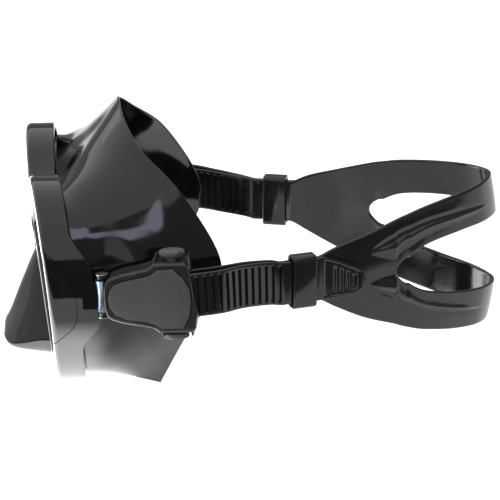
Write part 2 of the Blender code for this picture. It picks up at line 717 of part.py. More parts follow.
def ribbon_faces(columns):
    points, faces = [], []
    rows = len(columns[0][0])
    for column, _ in columns:
        for outer, inner in column:
            points += [tuple(outer), tuple(inner)]

    def at(c, r, layer):
        return (c * rows + r) * 2 + layer

    last = len(columns) - 1
    solid = [[not (r == 2 and columns[c][1] and columns[c + 1][1]) for r in range(rows - 1)] for c in range(last)]
    for c in range(last):
        for r in range(rows - 1):
            if not solid[c][r]:
                continue
            faces.append((at(c, r, 0), at(c + 1, r, 0), at(c + 1, r + 1, 0), at(c, r + 1, 0)))
            faces.append((at(c, r, 1), at(c, r + 1, 1), at(c + 1, r + 1, 1), at(c + 1, r, 1)))
            if r == 0 or not solid[c][r - 1]:
                faces.append((at(c, r, 0), at(c, r, 1), at(c + 1, r, 1), at(c + 1, r, 0)))
            if r == rows - 2 or not solid[c][r + 1]:
                faces.append((at(c, r + 1, 0), at(c + 1, r + 1, 0), at(c + 1, r + 1, 1), at(c, r + 1, 1)))
            if c == 0 or not solid[c - 1][r]:
                faces.append((at(c, r, 0), at(c, r + 1, 0), at(c, r + 1, 1), at(c, r, 1)))
            if c == last - 1 or not solid[c + 1][r]:
                faces.append((at(c + 1, r, 0), at(c + 1, r, 1), at(c + 1, r + 1, 1), at(c + 1, r + 1, 0)))
    return points, faces


def rounded_box(half_u, half_v, radius, steps=4):
    ring = []
    for corner, (a, b) in enumerate(((1, 1), (-1, 1), (-1, -1), (1, -1))):
        for k in range(steps + 1):
            angle = math.pi / 2 * (corner + k / steps)
            ring.append((a * (half_u - radius) + radius * math.cos(angle), b * (half_v - radius) + radius * math.sin(angle)))
    return ring


def add_keeper(side, parent):
    """A flat ring round both layers of the strap, which holds the tail down."""
    turned = Matrix.Rotation(side * KEEPER_TURN, 4, "Z")
    turned.translation = Vector((side * KEEPER_AT[0], *KEEPER_AT[1:])) * MM
    place = add_empty(f"keeper_place_{SIDE_NAME[side]}", turned, parent)
    outer, inner = rounded_box(4.2, 12.7, 2.6), rounded_box(2.7, 11.0, 1.6)
    half = KEEPER_LENGTH / 2
    rings = [(grown(outer, -0.5), -half), (outer, -half + 0.6), (outer, half - 0.6), (grown(outer, -0.5), half),
             (inner, half), (inner, -half)]  # fmt: skip
    points, faces = loft([[(x, y, z) for x, z in ring] for ring, y in rings], capped=False)
    count = len(outer)
    last = (len(rings) - 1) * count
    for i in range(count):
        j = (i + 1) % count
        faces.append((last + i, last + j, j, i))
    add_object(f"strap_keeper_{SIDE_NAME[side]}", points, faces, "strap", place)


# ---------------------------------------------------------------- build

clear_scene()
MATERIALS = make_materials()
MASK = add_empty("mask_origin", Matrix.Translation(-Vector(ORIGIN) * MM))
add_front(MASK)
add_skirt(MASK)
for wearer_side in (LEFT, RIGHT):
    add_buckle(wearer_side, MASK)
    add_keeper(wearer_side, MASK)
add_object("strap", *strap_ribbon(), "strap", MASK)
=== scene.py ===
"""Looks of the two-lens diving mask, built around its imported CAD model.

Shapes are written in millimetres in the mask's own axes, as in the part's source: x to the wearer's left,
y from the lenses back towards the head, z up. TO_ROW carries them into the row frame.
"""

import bisect
import math

import bmesh
import bpy
from mathutils import Matrix, Vector


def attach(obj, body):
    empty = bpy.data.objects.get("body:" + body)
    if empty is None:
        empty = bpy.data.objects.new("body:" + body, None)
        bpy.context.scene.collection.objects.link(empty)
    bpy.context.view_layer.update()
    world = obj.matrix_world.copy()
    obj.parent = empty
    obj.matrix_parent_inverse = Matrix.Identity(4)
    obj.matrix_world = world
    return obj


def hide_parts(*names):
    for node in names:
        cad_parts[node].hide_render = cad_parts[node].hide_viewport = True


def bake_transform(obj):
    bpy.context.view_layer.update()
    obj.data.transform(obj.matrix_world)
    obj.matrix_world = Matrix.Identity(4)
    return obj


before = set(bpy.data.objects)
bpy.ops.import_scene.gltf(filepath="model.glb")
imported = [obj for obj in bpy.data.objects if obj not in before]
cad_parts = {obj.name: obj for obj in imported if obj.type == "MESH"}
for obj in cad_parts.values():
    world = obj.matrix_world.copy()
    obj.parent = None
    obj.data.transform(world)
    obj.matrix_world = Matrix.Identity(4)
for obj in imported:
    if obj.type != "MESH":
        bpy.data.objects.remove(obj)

MM = 0.001
GAP = 0.3
ORIGIN = Vector((0.0, 109.8812, 3.963))
TO_ROW = Matrix.Translation(-ORIGIN * MM)

FRONT_Y, FRONT_TOP_Z, LAY_BACK, WRAP = 2.0, 112.0, 0.105, 0.05
BEZEL_DEPTH, BEZEL_WIDTH, LIP_DEPTH = 2.4, 5.2, 4.5
LENS_FACE, LENS_FRONT, LENS_BACK, LENS_OVERLAP = 2.6, 4.8, 8.0, 2.0
SOCKET_FRONT, SOCKET_BACK = 8.3, 15.4
SKIRT_FRONT, SKIRT_WALL, SKIRT_EDGE = 14.4, 1.8, 0.9
FRAME_DEPTH, FRAME_WALL = 13.8, 2.6
CHEEK_DEPTHS = [
    (37, 0), (40, 0.8), (45, 5), (50, 9), (56, 9.8), (66, 9), (75, 8), (81, 6.8), (86, 4.3), (90, 1.4), (93, 0),
]  # fmt: skip

PIN_AT = (81.0, 36.0, 66.0)
BUCKLE_YAW, BUCKLE_PITCH = math.radians(10), math.radians(3)
PIN_BORE_R, ROLLER_PIN_R, PAWL_PIN_R, SLEEVE_BORE_R = 1.65, 1.2, 1.05, 2.35
LUG_R, LUG_HALF = 2.3, 7.6
THROUGH = 30  # past the buckle on either side
EAR_R, EAR_HALF = 2.5, 9.9
ROLLER_U, ROLLER_R, ROLLER_GAP = 26.0, 2.0, 0.4
BUTTON_U, BUTTON_UNDER = 32.5, 18.2
BUTTON_CAP = (5.9, 4.3, 3.2)
POCKET_R, POCKET_FLOOR, STEM_R = 3.4, 12.7, 1.75
CHEEK_TOP, CHEEK_IN = 16.3, 10.9
POST_TOP, POST_FOOT = 18.6, 12.8
POST_SPANS = {1: ((24.2, 26.1), (39.0, 40.6)), -1: ((26.2, 28.0), (39.6, 41.2))}
BASE_W = (-5.5, -4.6)
COVER_W = (5.9, 6.7, 7.5)
PAWL_U, PAWL_W = 12.0, 4.1

STRAP_T, STRAP_HALF = 1.9, 10.25
LAYER_W = ROLLER_R + ROLLER_GAP + STRAP_T / 2
GROOVES, GROOVE_PITCH, GROOVE_WIDTH, GROOVE_DEPTH = 17, 3.75, 1.6, 1.15
RIM, TIP_END = 1.7, 24.0
KEEPER_AT = (65.6, 128.5, 65.4)
KEEPER_TURN = math.radians(17)
KEEPER_LENGTH = 11.5

LEFT, RIGHT = 1, -1
SIDE_NAME = {LEFT: "left", RIGHT: "right"}

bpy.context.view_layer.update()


# ---------------------------------------------------------------- tools


def smoothstep(low, high, value):
    """0 below low, 1 above high, and an S curve between them."""
    t = min(1.0, max(0.0, (value - low) / (high - low)))
    return t * t * (3 - 2 * t)


def between(table, value):
    """The table's second column at a value of its first, in straight lines."""
    if value <= table[0][0]:
        return table[0][1]
    for (a, low), (b, high) in zip(table, table[1:]):
        if value <= b:
            return low + (high - low) * (value - a) / (b - a)
    return table[-1][1]


def spline(points, steps, closed=False):
    """Points along the Catmull-Rom curve through the given ones, in any number of dimensions."""
    count = len(points)
    spans = count if closed else count - 1
    out = []
    for i in range(spans):
        if closed:
            a, b, c, d = (points[(i + k) % count] for k in (-1, 0, 1, 2))
        else:
            a, b = points[max(i - 1, 0)], points[i]
            c, d = points[i + 1], points[min(i + 2, count - 1)]
        for k in range(steps):
            t = k / steps
            weights = (
                (-t + 2 * t * t - t**3) / 2,
                (2 - 5 * t * t + 3 * t**3) / 2,
                (t + 4 * t * t - 3 * t**3) / 2,
                (-t * t + t**3) / 2,
            )
            out.append(tuple(sum(w * p[n] for w, p in zip(weights, (a, b, c, d))) for n in range(len(b))))
    if not closed:
        out.append(tuple(points[-1]))
    return out


def full_ring(half, steps):
    """A closed curve through the given half of a ring and its mirror image across x = 0."""
    mirrored = [(-p[0], *p[1:]) for p in half[1:-1]][::-1]
    return spline(half + mirrored, steps, closed=True)


def grown(outline, distance):
    """A closed outline moved out by a distance, or in by a negative one."""
    count = len(outline)
    area = sum(
        outline[i][0] * outline[(i + 1) % count][1] - outline[(i + 1) % count][0] * outline[i][1]
        for i in range(count)
    )
    turn = 1 if area > 0 else -1
    moved = []
    for i in range(count):
        before, after = outline[i - 1], outline[(i + 1) % count]
        along = Vector((after[0] - before[0], after[1] - before[1])).normalized() * turn * distance
        moved.append((outline[i][0] + along.y, outline[i][1] - along.x))
    return moved


def quarter(radius, steps):
    """(inset, rise) pairs round a rounded edge, from the side wall to the face."""
    return [
        (radius * (1 - math.cos(math.pi / 2 * k / steps)), radius * (math.sin(math.pi / 2 * k / steps) - 1))
        for k in range(steps + 1)
    ]


def loft(rings, capped=True, closed=False):
    count = len(rings[0])
    points = [p for ring in rings for p in ring]
    faces = []
    for r in range(len(rings) - (0 if closed else 1)):
        s = (r + 1) % len(rings)
        for i in range(count):
            j = (i + 1) % count
            faces.append((r * count + i, r * count + j, s * count + j, s * count + i))
    if capped and not closed:
        faces.append(tuple(range(count)))
        faces.append(tuple((len(rings) - 1) * count + i for i in range(count)))
    return points, faces


def circle(radius, count, centre=(0.0, 0.0)):
    steps = [2 * math.pi * i / count for i in range(count)]
    return [(centre[0] + radius * math.cos(a), centre[1] + radius * math.sin(a)) for a in steps]


def placed(name, data):
    obj = bpy.data.objects.new(name, data)
    bpy.context.scene.collection.objects.link(obj)
    return obj


def shape(name, points, faces, matrix=TO_ROW):
    """A closed mesh in the row frame, from points in millimetres."""
    mesh = bpy.data.meshes.new(name)
    work = bmesh.new()
    verts = [work.verts.new(matrix @ (Vector(p) * MM)) for p in points]
    for face in faces:
        work.faces.new([verts[i] for i in face])
    bmesh.ops.recalc_face_normals(work, faces=work.faces)
    work.to_mesh(mesh)
    work.free()
    return placed(name, mesh)


def carve(obj, steps, crossing=False):
    """Boolean steps in order, each an operation and the solid it uses up. Crossing is for a wall that meets itself."""
    for operation, other in steps:
        modifier = obj.modifiers.new(operation, "BOOLEAN")
        modifier.operation, modifier.object, modifier.solver = operation, other, "EXACT"
        modifier.use_self = crossing
    graph = bpy.context.evaluated_depsgraph_get()
    mesh = bpy.data.meshes.new_from_object(obj.evaluated_get(graph))
    obj.modifiers.clear()
    obj.data = mesh
    for _, other in steps:
        if other.name in bpy.data.objects:
            bpy.data.objects.remove(other)
    return obj


def soften(obj, width, angle=40):
    """Rounds every edge that is sharper than an angle."""
    bevel = obj.modifiers.new("edges", "BEVEL")
    bevel.width, bevel.segments = width * MM, 2
    bevel.limit_method, bevel.angle_limit = "ANGLE", math.radians(angle)
    bevel.use_clamp_overlap = True
    bevel.miter_outer = "MITER_ARC"
    weighted = obj.modifiers.new("shading", "WEIGHTED_NORMAL")
    weighted.keep_sharp = True
    weighted.weight = 60


def dress(obj, paint, body, nodes, angle=32, edges=None):
    """Smooths a piece up to an angle, rounds its edges by (width, angle), and says what it is and what it replaces."""
    obj.data.shade_smooth()
    obj.data.set_sharp_from_angle(angle=math.radians(angle))
    if edges:
        soften(obj, *edges)
    obj.data.materials.clear()
    obj.data.materials.append(PAINTS[paint])
    if body:
        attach(obj, body)
    if nodes:
        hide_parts(*nodes)


# ---------------------------------------------------------------- materials


def set_inputs(node, **values):
    for key, value in values.items():
        node.inputs[key.replace("_", " ")].default_value = value


def tone(colour):
    """An RGBA colour from a triple, or from a number for a slightly cold grey."""
    return (*colour, 1.0) if isinstance(colour, tuple) else (colour, colour, colour * 1.03, 1.0)


def paint(name, colour, roughness, tint, wear, bumps, metallic=0.0, **inputs):
    """Adds a Principled material to PAINTS. Tint is a noise and its ramp of (position, colour), wear a noise and the
    range of roughness it makes, and each bump a noise, or cells where it is a bare number, with its strength and
    depth. A noise is (features per metre, detail, roughness, stretch)."""
    material = bpy.data.materials.new(name)
    material.use_nodes = True
    tree = material.node_tree
    shader = tree.nodes["Principled BSDF"]
    set_inputs(shader, Base_Color=tone(colour), Roughness=roughness, Metallic=metallic, **inputs)
    place = tree.nodes.new("ShaderNodeTexCoord").outputs["Object"]

    def fed(kind, source, socket, **values):
        """A new node, with a source linked to one of its inputs."""
        node = tree.nodes.new(f"ShaderNode{kind}")
        set_inputs(node, **values)
        tree.links.new(source, node.inputs[socket])
        return node

    def noise(scale, detail=3.0, rough=0.5, stretch=None):
        source = fed("Mapping", place, "Vector", Scale=stretch).outputs["Vector"] if stretch else place
        return fed("TexNoise", source, "Vector", Scale=scale, Detail=detail, Roughness=rough).outputs["Fac"]

    if tint:
        ramp = fed("ValToRGB", noise(*tint[0]), "Fac")
        elements = ramp.color_ramp.elements
        while len(elements) < len(tint[1]):
            elements.new(0.5)
        for element, (position, shade) in zip(elements, tint[1]):
            element.position, element.color = position, tone(shade)
        tree.links.new(ramp.outputs["Color"], shader.inputs["Base Color"])
    ends = zip(("From_Min", "From_Max", "To_Min", "To_Max"), wear[1])
    spread = fed("MapRange", noise(*wear[0]), "Value", **dict(ends))
    tree.links.new(spread.outputs["Result"], shader.inputs["Roughness"])
    normal = None
    for texture, strength, depth in bumps:
        if isinstance(texture, tuple):
            height = noise(*texture)
        else:
            height = fed("TexVoronoi", place, "Vector", Scale=texture).outputs["Distance"]
        bump = fed("Bump", height, "Height", Strength=strength, Distance=depth)
        if normal:
            tree.links.new(normal, bump.inputs["Normal"])
        normal = bump.outputs["Normal"]
    tree.links.new(normal, shader.inputs["Normal"])
    PAINTS[name] = material


PAINTS = {}
BRUSHED = (1.0, 1.0, 12.0)
paint("silicone", 0.008, 0.09, ((28, 4, 0.55), [(0.3, 0.0025), (0.7, 0.005)]),
    ((190, 5, 0.6), (0.3, 0.75, 0.05, 0.13)),
    [((34, 2, 0.4, (1.0, 0.35, 1.0)), 0.5, 0.0006), ((2600, 2, 0.5), 0.05, 0.0001)], IOR=1.43)
paint("gloss_plastic", 0.006, 0.06, ((45, 3), [(0.35, 0.0018), (0.7, 0.004)]),
    ((260, 5, 0.65), (0.35, 0.75, 0.035, 0.10)),
    [((70, 2, 0.4), 0.35, 0.0002), ((3000, 2, 0.5), 0.03, 0.0001)], IOR=1.5)
paint("buckle_plastic", 0.012, 0.2, ((90, 4), [(0.3, 0.009), (0.75, 0.017)]),
    ((500, 5, 0.6), (0.3, 0.75, 0.12, 0.28)),
    [((1500, 3, 0.6), 0.12, 0.0001), ((160, 2, 0.4), 0.25, 0.0002)], IOR=1.5)
paint("pad_plastic", 0.03, 0.5,
    ((5200, 3, 0.7), [(0.28, 0.016), (0.52, 0.027), (0.78, 0.052)]),
    ((900, 4, 0.6), (0.3, 0.7, 0.40, 0.58)), [(2600, 0.35, 0.00012), ((7000, 2, 0.6), 0.3, 0.00008)], IOR=1.45)
paint("button_plastic", 0.04, 0.4,
    ((1900, 4, 0.75), [(0.34, 0.008), (0.5, 0.03), (0.66, 0.12)]),
    ((1100, 4, 0.6), (0.3, 0.7, 0.22, 0.55)), [((1500, 4, 0.7), 0.8, 0.0003)], IOR=1.5)
paint("strap_rubber", 0.007, 0.1, ((60, 5, 0.6), [(0.3, 0.004), (0.75, 0.009)]),
    ((230, 5, 0.65), (0.3, 0.75, 0.06, 0.15)),
    [((1800, 3, 0.6), 0.05, 0.0001), ((40, 2, 0.4), 0.3, 0.0004)], IOR=1.44)
paint("steel", (0.60, 0.61, 0.63), 0.26,
    ((700, 3), [(0.3, (0.50, 0.51, 0.53)), (0.75, (0.68, 0.69, 0.71))]),
    ((900, 4, 0.6), (0.3, 0.7, 0.18, 0.34)), [((900, 3, 0.6, BRUSHED), 0.12, 0.0001)], metallic=1.0)
paint("blued_steel", (0.20, 0.24, 0.31), 0.24,
    ((420, 3), [(0.3, (0.15, 0.185, 0.25)), (0.75, (0.25, 0.29, 0.36))]),
    ((900, 4, 0.6), (0.3, 0.7, 0.18, 0.36)), [((900, 3, 0.6, BRUSHED), 0.15, 0.0001)], metallic=1.0)
paint("glass", (0.90, 0.94, 0.94), 0.01, None, ((120, 4, 0.6), (0.45, 0.8, 0.0, 0.035)),
    [((40, 2, 0.4), 0.05, 0.0002)], IOR=1.5, Transmission_Weight=1.0)


# ---------------------------------------------------------------- frame, bezels and lenses


def front_y(x, z):
    return FRONT_Y + LAY_BACK * (FRONT_TOP_Z - z) + WRAP * abs(x)


def on_front(outline, depth):
    """A front-view outline as a ring at a depth behind the front plane, or at depth(x, z)."""
    ring = []
    for x, z in outline:
        d = depth(x, z) if callable(depth) else depth
        ring.append((x, front_y(x, z) + d, z))
    return ring


def frame_outline():
    half = [
        (0, 93), (13, 97.5), (29, 108), (48, 112), (66, 106.5), (77, 93), (80.4, 74), (78.4, 52),
        (70.5, 32), (59, 17.5), (46.5, 13.5), (35.5, 18), (27.5, 31), (20.5, 48), (14, 64), (6.5, 73.5),
        (0, 76),
    ]  # fmt: skip
    return full_ring(half, 7)


def lens_outline(side):
    half = [
        (13.5, 84), (28, 98), (46, 102.3), (61, 98), (70, 86), (72.3, 70), (69.5, 51), (62, 34.5),
        (51, 23.5), (42.5, 24), (35, 34), (27.5, 49), (19.5, 66), (14, 76),
    ]  # fmt: skip
    return [(side * x, z) for x, z in spline(half, 7, closed=True)]


def frame_back(x, z):
    return FRAME_DEPTH + smoothstep(50, 66, abs(x)) * between(CHEEK_DEPTHS, z)


def halves(ring_start, count):
    middle = count // 2
    left = [ring_start + i for i in range(middle + 1)]
    right = [ring_start + i for i in range(middle, count)] + [ring_start]
    return [left, right]


def cup(rings):
    """A closed body from rings whose first and last are folded at x = 0."""
    points, faces = loft(rings, capped=False)
    count = len(rings[0])
    return points, faces + halves(0, count) + halves((len(rings) - 1) * count, count)


def frame_shell(outline):
    """The cup that the frame and both bezels are cut from, rounded at its front and rear edges."""
    wall = grown(outline, -FRAME_WALL)
    rings = []
    for k in range(9):
        angle = math.pi / 2 * k / 8
        rings.append(on_front(grown(outline, -2.3 * (1 - math.sin(angle))), 2.6 * (1 - math.cos(angle))))
    for inset, rise in quarter(0.9, 4):
        rings.append(on_front(grown(outline, -inset), lambda x, z, rise=rise: frame_back(x, z) + rise))
    for inset, rise in quarter(0.7, 3)[::-1]:
        rings.append(on_front(grown(wall, inset), lambda x, z, rise=rise: frame_back(x, z) + rise))
    rings.append(on_front(wall, LIP_DEPTH))
    return cup(rings)


def bridge():
    """The part of the frame over the nose, which stands out a little from the front plane."""
    rings = []
    for i in range(25):
        x = -12.6 + 25.2 * i / 24
        top, bottom = 93 + 0.026 * x * x - 1.2, 75.8 - 0.052 * x * x + 0.6
        out = 2.1 * (1 - (x / 13.5) ** 2)
        middle = (top + bottom) / 2
        section = [
            (front_y(x, top) + 4.0, top), (front_y(x, top) + 1.0, top), (front_y(x, top - 3) - 0.15 * out, top - 3),
            (front_y(x, middle) - 0.65 * out, middle), (front_y(x, bottom + 2) - out, bottom + 2),
            (front_y(x, bottom) - 0.6 * out, bottom + 0.4), (front_y(x, bottom) + 4.0, bottom),
        ]  # fmt: skip
        rings.append([(x, y, z) for y, z in spline(section, 4)])
    return loft(rings)


def bezel_lobe(margin):
    """Where the bezel wraps back over the side of the frame, deepest beside the lens."""
    rear = [(9.0, 87), (14.7, 81.2), (19.6, 75.5), (22.9, 66), (24.1, 57), (22.6, 50.3), (18.2, 45.2), (12.5, 40.0)]
    return grown(spline(rear, 5) + [(-20, 36), (-20, 90)], margin)


def window_cutter(window):
    """The hole over a lens, with a rounded mouth."""
    mouth = 1.6
    rings = [on_front(grown(window, mouth), -8.0)]
    for k in range(6):
        angle = math.pi / 2 * k / 5
        rings.append(on_front(grown(window, mouth - mouth * math.sin(angle)), mouth - mouth * math.cos(angle)))
    return shape("hole", *loft(rings + [on_front(window, 20.0)]))


def bezel_volume(side, margin):
    """The two solids that a bezel fills within the frame's shell: round its lens, and over the frame's side."""
    round_lens = grown(lens_outline(side), BEZEL_WIDTH + margin)
    slab = loft([on_front(round_lens, -6.0), on_front(round_lens, BEZEL_DEPTH + margin)])
    ends = (60.0, 100.0) if side == LEFT else (-100.0, -60.0)
    return slab, loft([[(x, y, z) for y, z in bezel_lobe(margin)] for x in ends])


def build_front():
    outline = frame_outline()
    steps = [("UNION", shape("over_nose", *bridge()))]
    for side in (LEFT, RIGHT):
        name = SIDE_NAME[side]
        window = lens_outline(side)
        steps.append(("DIFFERENCE", window_cutter(window)))
        slab, lobe = (shape("cut", *part) for part in bezel_volume(side, GAP))
        steps += [("DIFFERENCE", slab), ("DIFFERENCE", lobe)]

        slab, lobe = bezel_volume(side, 0.0)
        keep = carve(shape("keep", *slab), [("UNION", shape("keep_lobe", *lobe))])
        bezel = shape(f"bezel_rim_{name}", *frame_shell(outline))
        hole = window_cutter(window)
        carve(bezel, [("UNION", shape("over_nose", *bridge())), ("DIFFERENCE", hole), ("INTERSECT", keep)])
        dress(bezel, "gloss_plastic", "mask", [f"bezel_{name}"], edges=[0.22])

        rim, face = grown(window, LENS_OVERLAP), grown(window, -2 * GAP)
        levels = ((rim, LENS_BACK), (rim, LENS_FRONT), (face, LENS_FRONT), (face, LENS_FACE))
        rings = [on_front(outer, depth) for outer, depth in levels]
        lens = shape(f"lens_pane_{name}", *loft(rings))
        dress(lens, "glass", "mask", [f"lens_{name}"], edges=[0.2])

        for up in (1, -1):
            ear_room = rod_v(0, 0, EAR_R + 0.5, up * 7.65, up * 11.0, 40)
            steps.append(("DIFFERENCE", by_buckle("ear_room", ear_room, side)))
        lug = by_buckle("lug", rod_v(0, 0, LUG_R, -LUG_HALF, LUG_HALF), side)
        arm = by_buckle("arm", box((-9.5, -1.0), (-6.4, 6.4), (-2.3, 0.9)), side)
        bore = by_buckle("bore", rod_v(0, 0, PIN_BORE_R, -THROUGH, THROUGH), side)
        steps.append(("UNION", carve(lug, [("UNION", arm), ("DIFFERENCE", bore)])))
    body = carve(shape("frame_moulding", *frame_shell(outline)), steps)
    dress(body, "gloss_plastic", "mask", ["frame"], edges=[0.22])


# ---------------------------------------------------------------- skirt


def skirt_rings():
    """The left half of each ring of the skirt, from the lenses back to the edge on the face."""
    wall = [(0, 97), (24, 103), (50, 106), (69, 97.3), (76.2, 78), (74.2, 54), (65, 29.5), (47, 15.5), (0, 12)]
    return [
        on_front(wall, SKIRT_FRONT),
        [(0, 22, 103.5), (24, 23, 107.5), (49, 25, 107), (68.0, 31, 96.5), (73.6, 37, 78), (72.6, 41, 54),
         (65, 36, 29.5), (46, 36, 15), (0, 34, 12)],
        [(0, 32, 117), (22, 33.5, 118), (47, 38.0, 113), (65.5, 46, 99.5), (73.5, 54, 77.5), (72, 54, 55),
         (61, 48, 31), (41, 48, 12.6), (0, 45, 11)],
        [(0, 41, 128), (20, 42, 126.5), (44.5, 48, 118), (62, 61, 103.5), (70, 74, 76.5), (67, 69, 53.5),
         (56, 61, 32), (36, 57, 8.8), (0, 53, 9.5)],
        [(0, 47.5, 136.5), (20, 48.6, 132.6), (42.5, 56, 122.6), (58, 73.5, 106), (62.8, 91, 74.5), (58, 84, 51),
         (48.5, 75, 32.5), (31, 64.5, 5), (0, 59, 8)],
    ]  # fmt: skip


def cornered_ring(half, steps):
    """The same ring with a sharp corner at one point of each half, and as many points."""
    corner, left = 7, [(-p[0], *p[1:]) for p in half]
    over = spline(left[corner:0:-1] + half[: corner + 1], steps)
    under = spline(half[corner:] + left[corner:-1][::-1], steps)
    start = corner * steps
    return over[start:-1] + under[:-1] + over[:start]


def skirt_shell():
    """The skirt's wall: thick at the lenses, thin and rounded at the edge that seals on the face."""
    rings = []
    for ring, sharpness in zip(skirt_rings(), (0.0, 0.15, 0.6, 1.0, 1.0)):
        pair = zip(full_ring(ring, 10), cornered_ring(ring, 10))
        rings.append([tuple(a + (b - a) * sharpness for a, b in zip(p, q)) for p, q in pair])
    columns = [spline(column, 8) for column in zip(*rings)]
    outer = [[Vector(p) for p in ring] for ring in zip(*columns)]
    count, last = len(outer[0]), len(outer) - 1
    inner = []
    for r, ring in enumerate(outer):
        wall = SKIRT_WALL + (SKIRT_EDGE - SKIRT_WALL) * smoothstep(0.35, 1.0, r / last)
        inside = []
        for i, p in enumerate(ring):
            round_it = ring[(i + 1) % count] - ring[i - 1]
            along = outer[min(r + 1, last)][i] - outer[max(r - 1, 0)][i]
            normal = round_it.cross(along).normalized()
            inside.append(p - normal * wall)
        inner.append(inside)
    foot = [(p.x, p.z) for p in outer[0]]
    inner[0] = [Vector(p) for p in on_front(grown(foot, -SKIRT_WALL), SKIRT_FRONT + SKIRT_WALL)]
    edge = []
    for k in range(1, 6):
        angle = math.pi * k / 6
        ring = []
        for i in range(count):
            centre = (outer[last][i] + inner[last][i]) / 2
            half = (outer[last][i] - inner[last][i]) / 2
            along = (outer[last][i] - outer[last - 1][i]).normalized() * half.length
            ring.append(centre + half * math.cos(angle) + along * math.sin(angle))
        edge.append(ring)
    return cup([[tuple(p) for p in ring] for ring in outer + edge + inner[::-1]])


def nose_rings(wall, back_y):
    """Sections of the nose pocket from back to front, shrunk by a wall thickness."""
    sections = [  # y, top, bottom, width
        (back_y, 74.0, 14.0, 1.0), (16, 72.0, 14.8, 1.0), (8, 66.5, 15.8, 0.97), (0, 49.5, 17.0, 0.88),
        (-5.5, 36.0, 18.8, 0.78), (-8.2, 30.5, 21.3, 0.62), (-9.3, 27.6, 24.2, 0.34), (-9.55, 26.4, 25.2, 0.1),
    ]  # fmt: skip
    rings = []
    for y, top, bottom, width in spline(sections, 4):
        if wall and y < -8.5:
            continue
        tall = top - bottom
        half = [
            (0, top - wall), (0.30 * 22 * width - wall * 0.6, top - 0.03 * tall - wall),
            (0.52 * 22 * width - wall, top - 0.28 * tall), (0.80 * 22 * width - wall, bottom + 0.32 * tall),
            (0.92 * 22 * width - wall, bottom + 0.13 * tall), (0.70 * 22 * width - wall, bottom + 0.01 * tall + wall),
            (0, bottom + wall),
        ]  # fmt: skip
        rings.append([(x, y + (wall if y < 0 else 0), z) for x, z in full_ring(half, 6)])
    return rings


def build_skirt():
    skirt = shape("skirt_silicone", *skirt_shell())
    steps = [("UNION", shape("nose", *loft(nose_rings(0.0, 28.0))))]
    for side in (LEFT, RIGHT):
        window = lens_outline(side)
        for step, what, margin, levels in (("UNION", "socket", 2.6, (SOCKET_FRONT, SOCKET_BACK)),
                                           ("DIFFERENCE", "inside", 0.8, (SOCKET_FRONT - 3, SOCKET_BACK + 6))):
            outline = grown(window, margin)
            steps.append((step, shape(what, *loft([on_front(outline, level) for level in levels]))))
    steps.append(("DIFFERENCE", shape("nose_room", *loft(nose_rings(SKIRT_WALL, 36.0)))))
    carve(skirt, steps, crossing=True)
    dress(skirt, "silicone", "mask", ["skirt"], angle=40)


# ---------------------------------------------------------------- buckles


def buckle_axes(side):
    u = Vector((side * math.sin(BUCKLE_YAW) * math.cos(BUCKLE_PITCH),
                math.cos(BUCKLE_YAW) * math.cos(BUCKLE_PITCH), math.sin(BUCKLE_PITCH)))  # fmt: skip
    w = Vector((math.cos(BUCKLE_YAW), -side * math.sin(BUCKLE_YAW), 0.0))
    return u, w.cross(u), w


def buckle_matrix(side):
    matrix = Matrix(buckle_axes(side)).transposed().to_4x4()
    matrix.translation = Vector((side * PIN_AT[0], *PIN_AT[1:])) * MM
    return TO_ROW @ matrix


def by_buckle(name, part, side):
    """A part in buckle axes as a shape, with w turned so that it points away from the head on either side."""
    points, faces = part
    return shape(name, [(u, v, side * w) for u, v, w in points], faces, buckle_matrix(side))


def slab_w(outline, profile):
    """A (u, v) outline extruded along w through a profile of (w, inset) pairs."""
    return loft([[(u, v, w) for u, v in (grown(outline, -inset) if inset else outline)] for w, inset in profile])


def rod_v(u, w, radius, v0, v1, count=32):
    return turned_v(u, w, [(v0, radius), (v1, radius)], count)


def turned_v(u, w, profile, count=48):
    """A body of revolution about v through (v, radius) pairs."""
    return loft([[(a, v, b) for a, b in circle(radius, count, (u, w))] for v, radius in profile])


def box(u, v, w):
    corners = [(u[0], v[0]), (u[1], v[0]), (u[1], v[1]), (u[0], v[1])]
    return slab_w(corners, [(w[0], 0), (w[1], 0)])


def rounded(outline):
    """An outline with its corners eased by the curve through the middles of its dense sides."""
    dense = []
    for i, p in enumerate(outline):
        q = outline[(i + 1) % len(outline)]
        cuts = max(1, int(math.dist(p, q) / 1.6))
        dense += [(p[0] + (q[0] - p[0]) * k / cuts, p[1] + (q[1] - p[1]) * k / cuts) for k in range(cuts)]
    return spline(dense, 4, closed=True)


def housing_outline():
    upper = [(1.2, 0), (1.5, 5.0), (2.6, 8.2), (4.6, 9.8), (10, 11.6), (19.5, 13.4), (22.5, 14.4),
             (24.8, CHEEK_TOP), (38.6, CHEEK_TOP), (40.2, 14.8), (41.3, 8.0), (42.0, 0)]  # fmt: skip
    lower = [(u + 2.2 * smoothstep(10, 36, u), -v) for u, v in upper[1:-1]][::-1]
    return rounded(upper + lower)


def pad_outline():
    return rounded([(3.4, 0), (4.0, 3.8), (6.2, 6.9), (11, 8.6), (19.3, 10.2), (22.9, 11.2), (26.2, 13.6), (33.4, 13.9),
                    (37.9, 9.4), (40.6, 4.0), (40.8, -2.5), (39.6, -9.0), (36.6, -14.2), (27.6, -14.2), (24.4, -12.4),
                    (20.5, -10.9), (11, -9.4), (6.2, -7.2), (4.0, -4.0)])  # fmt: skip


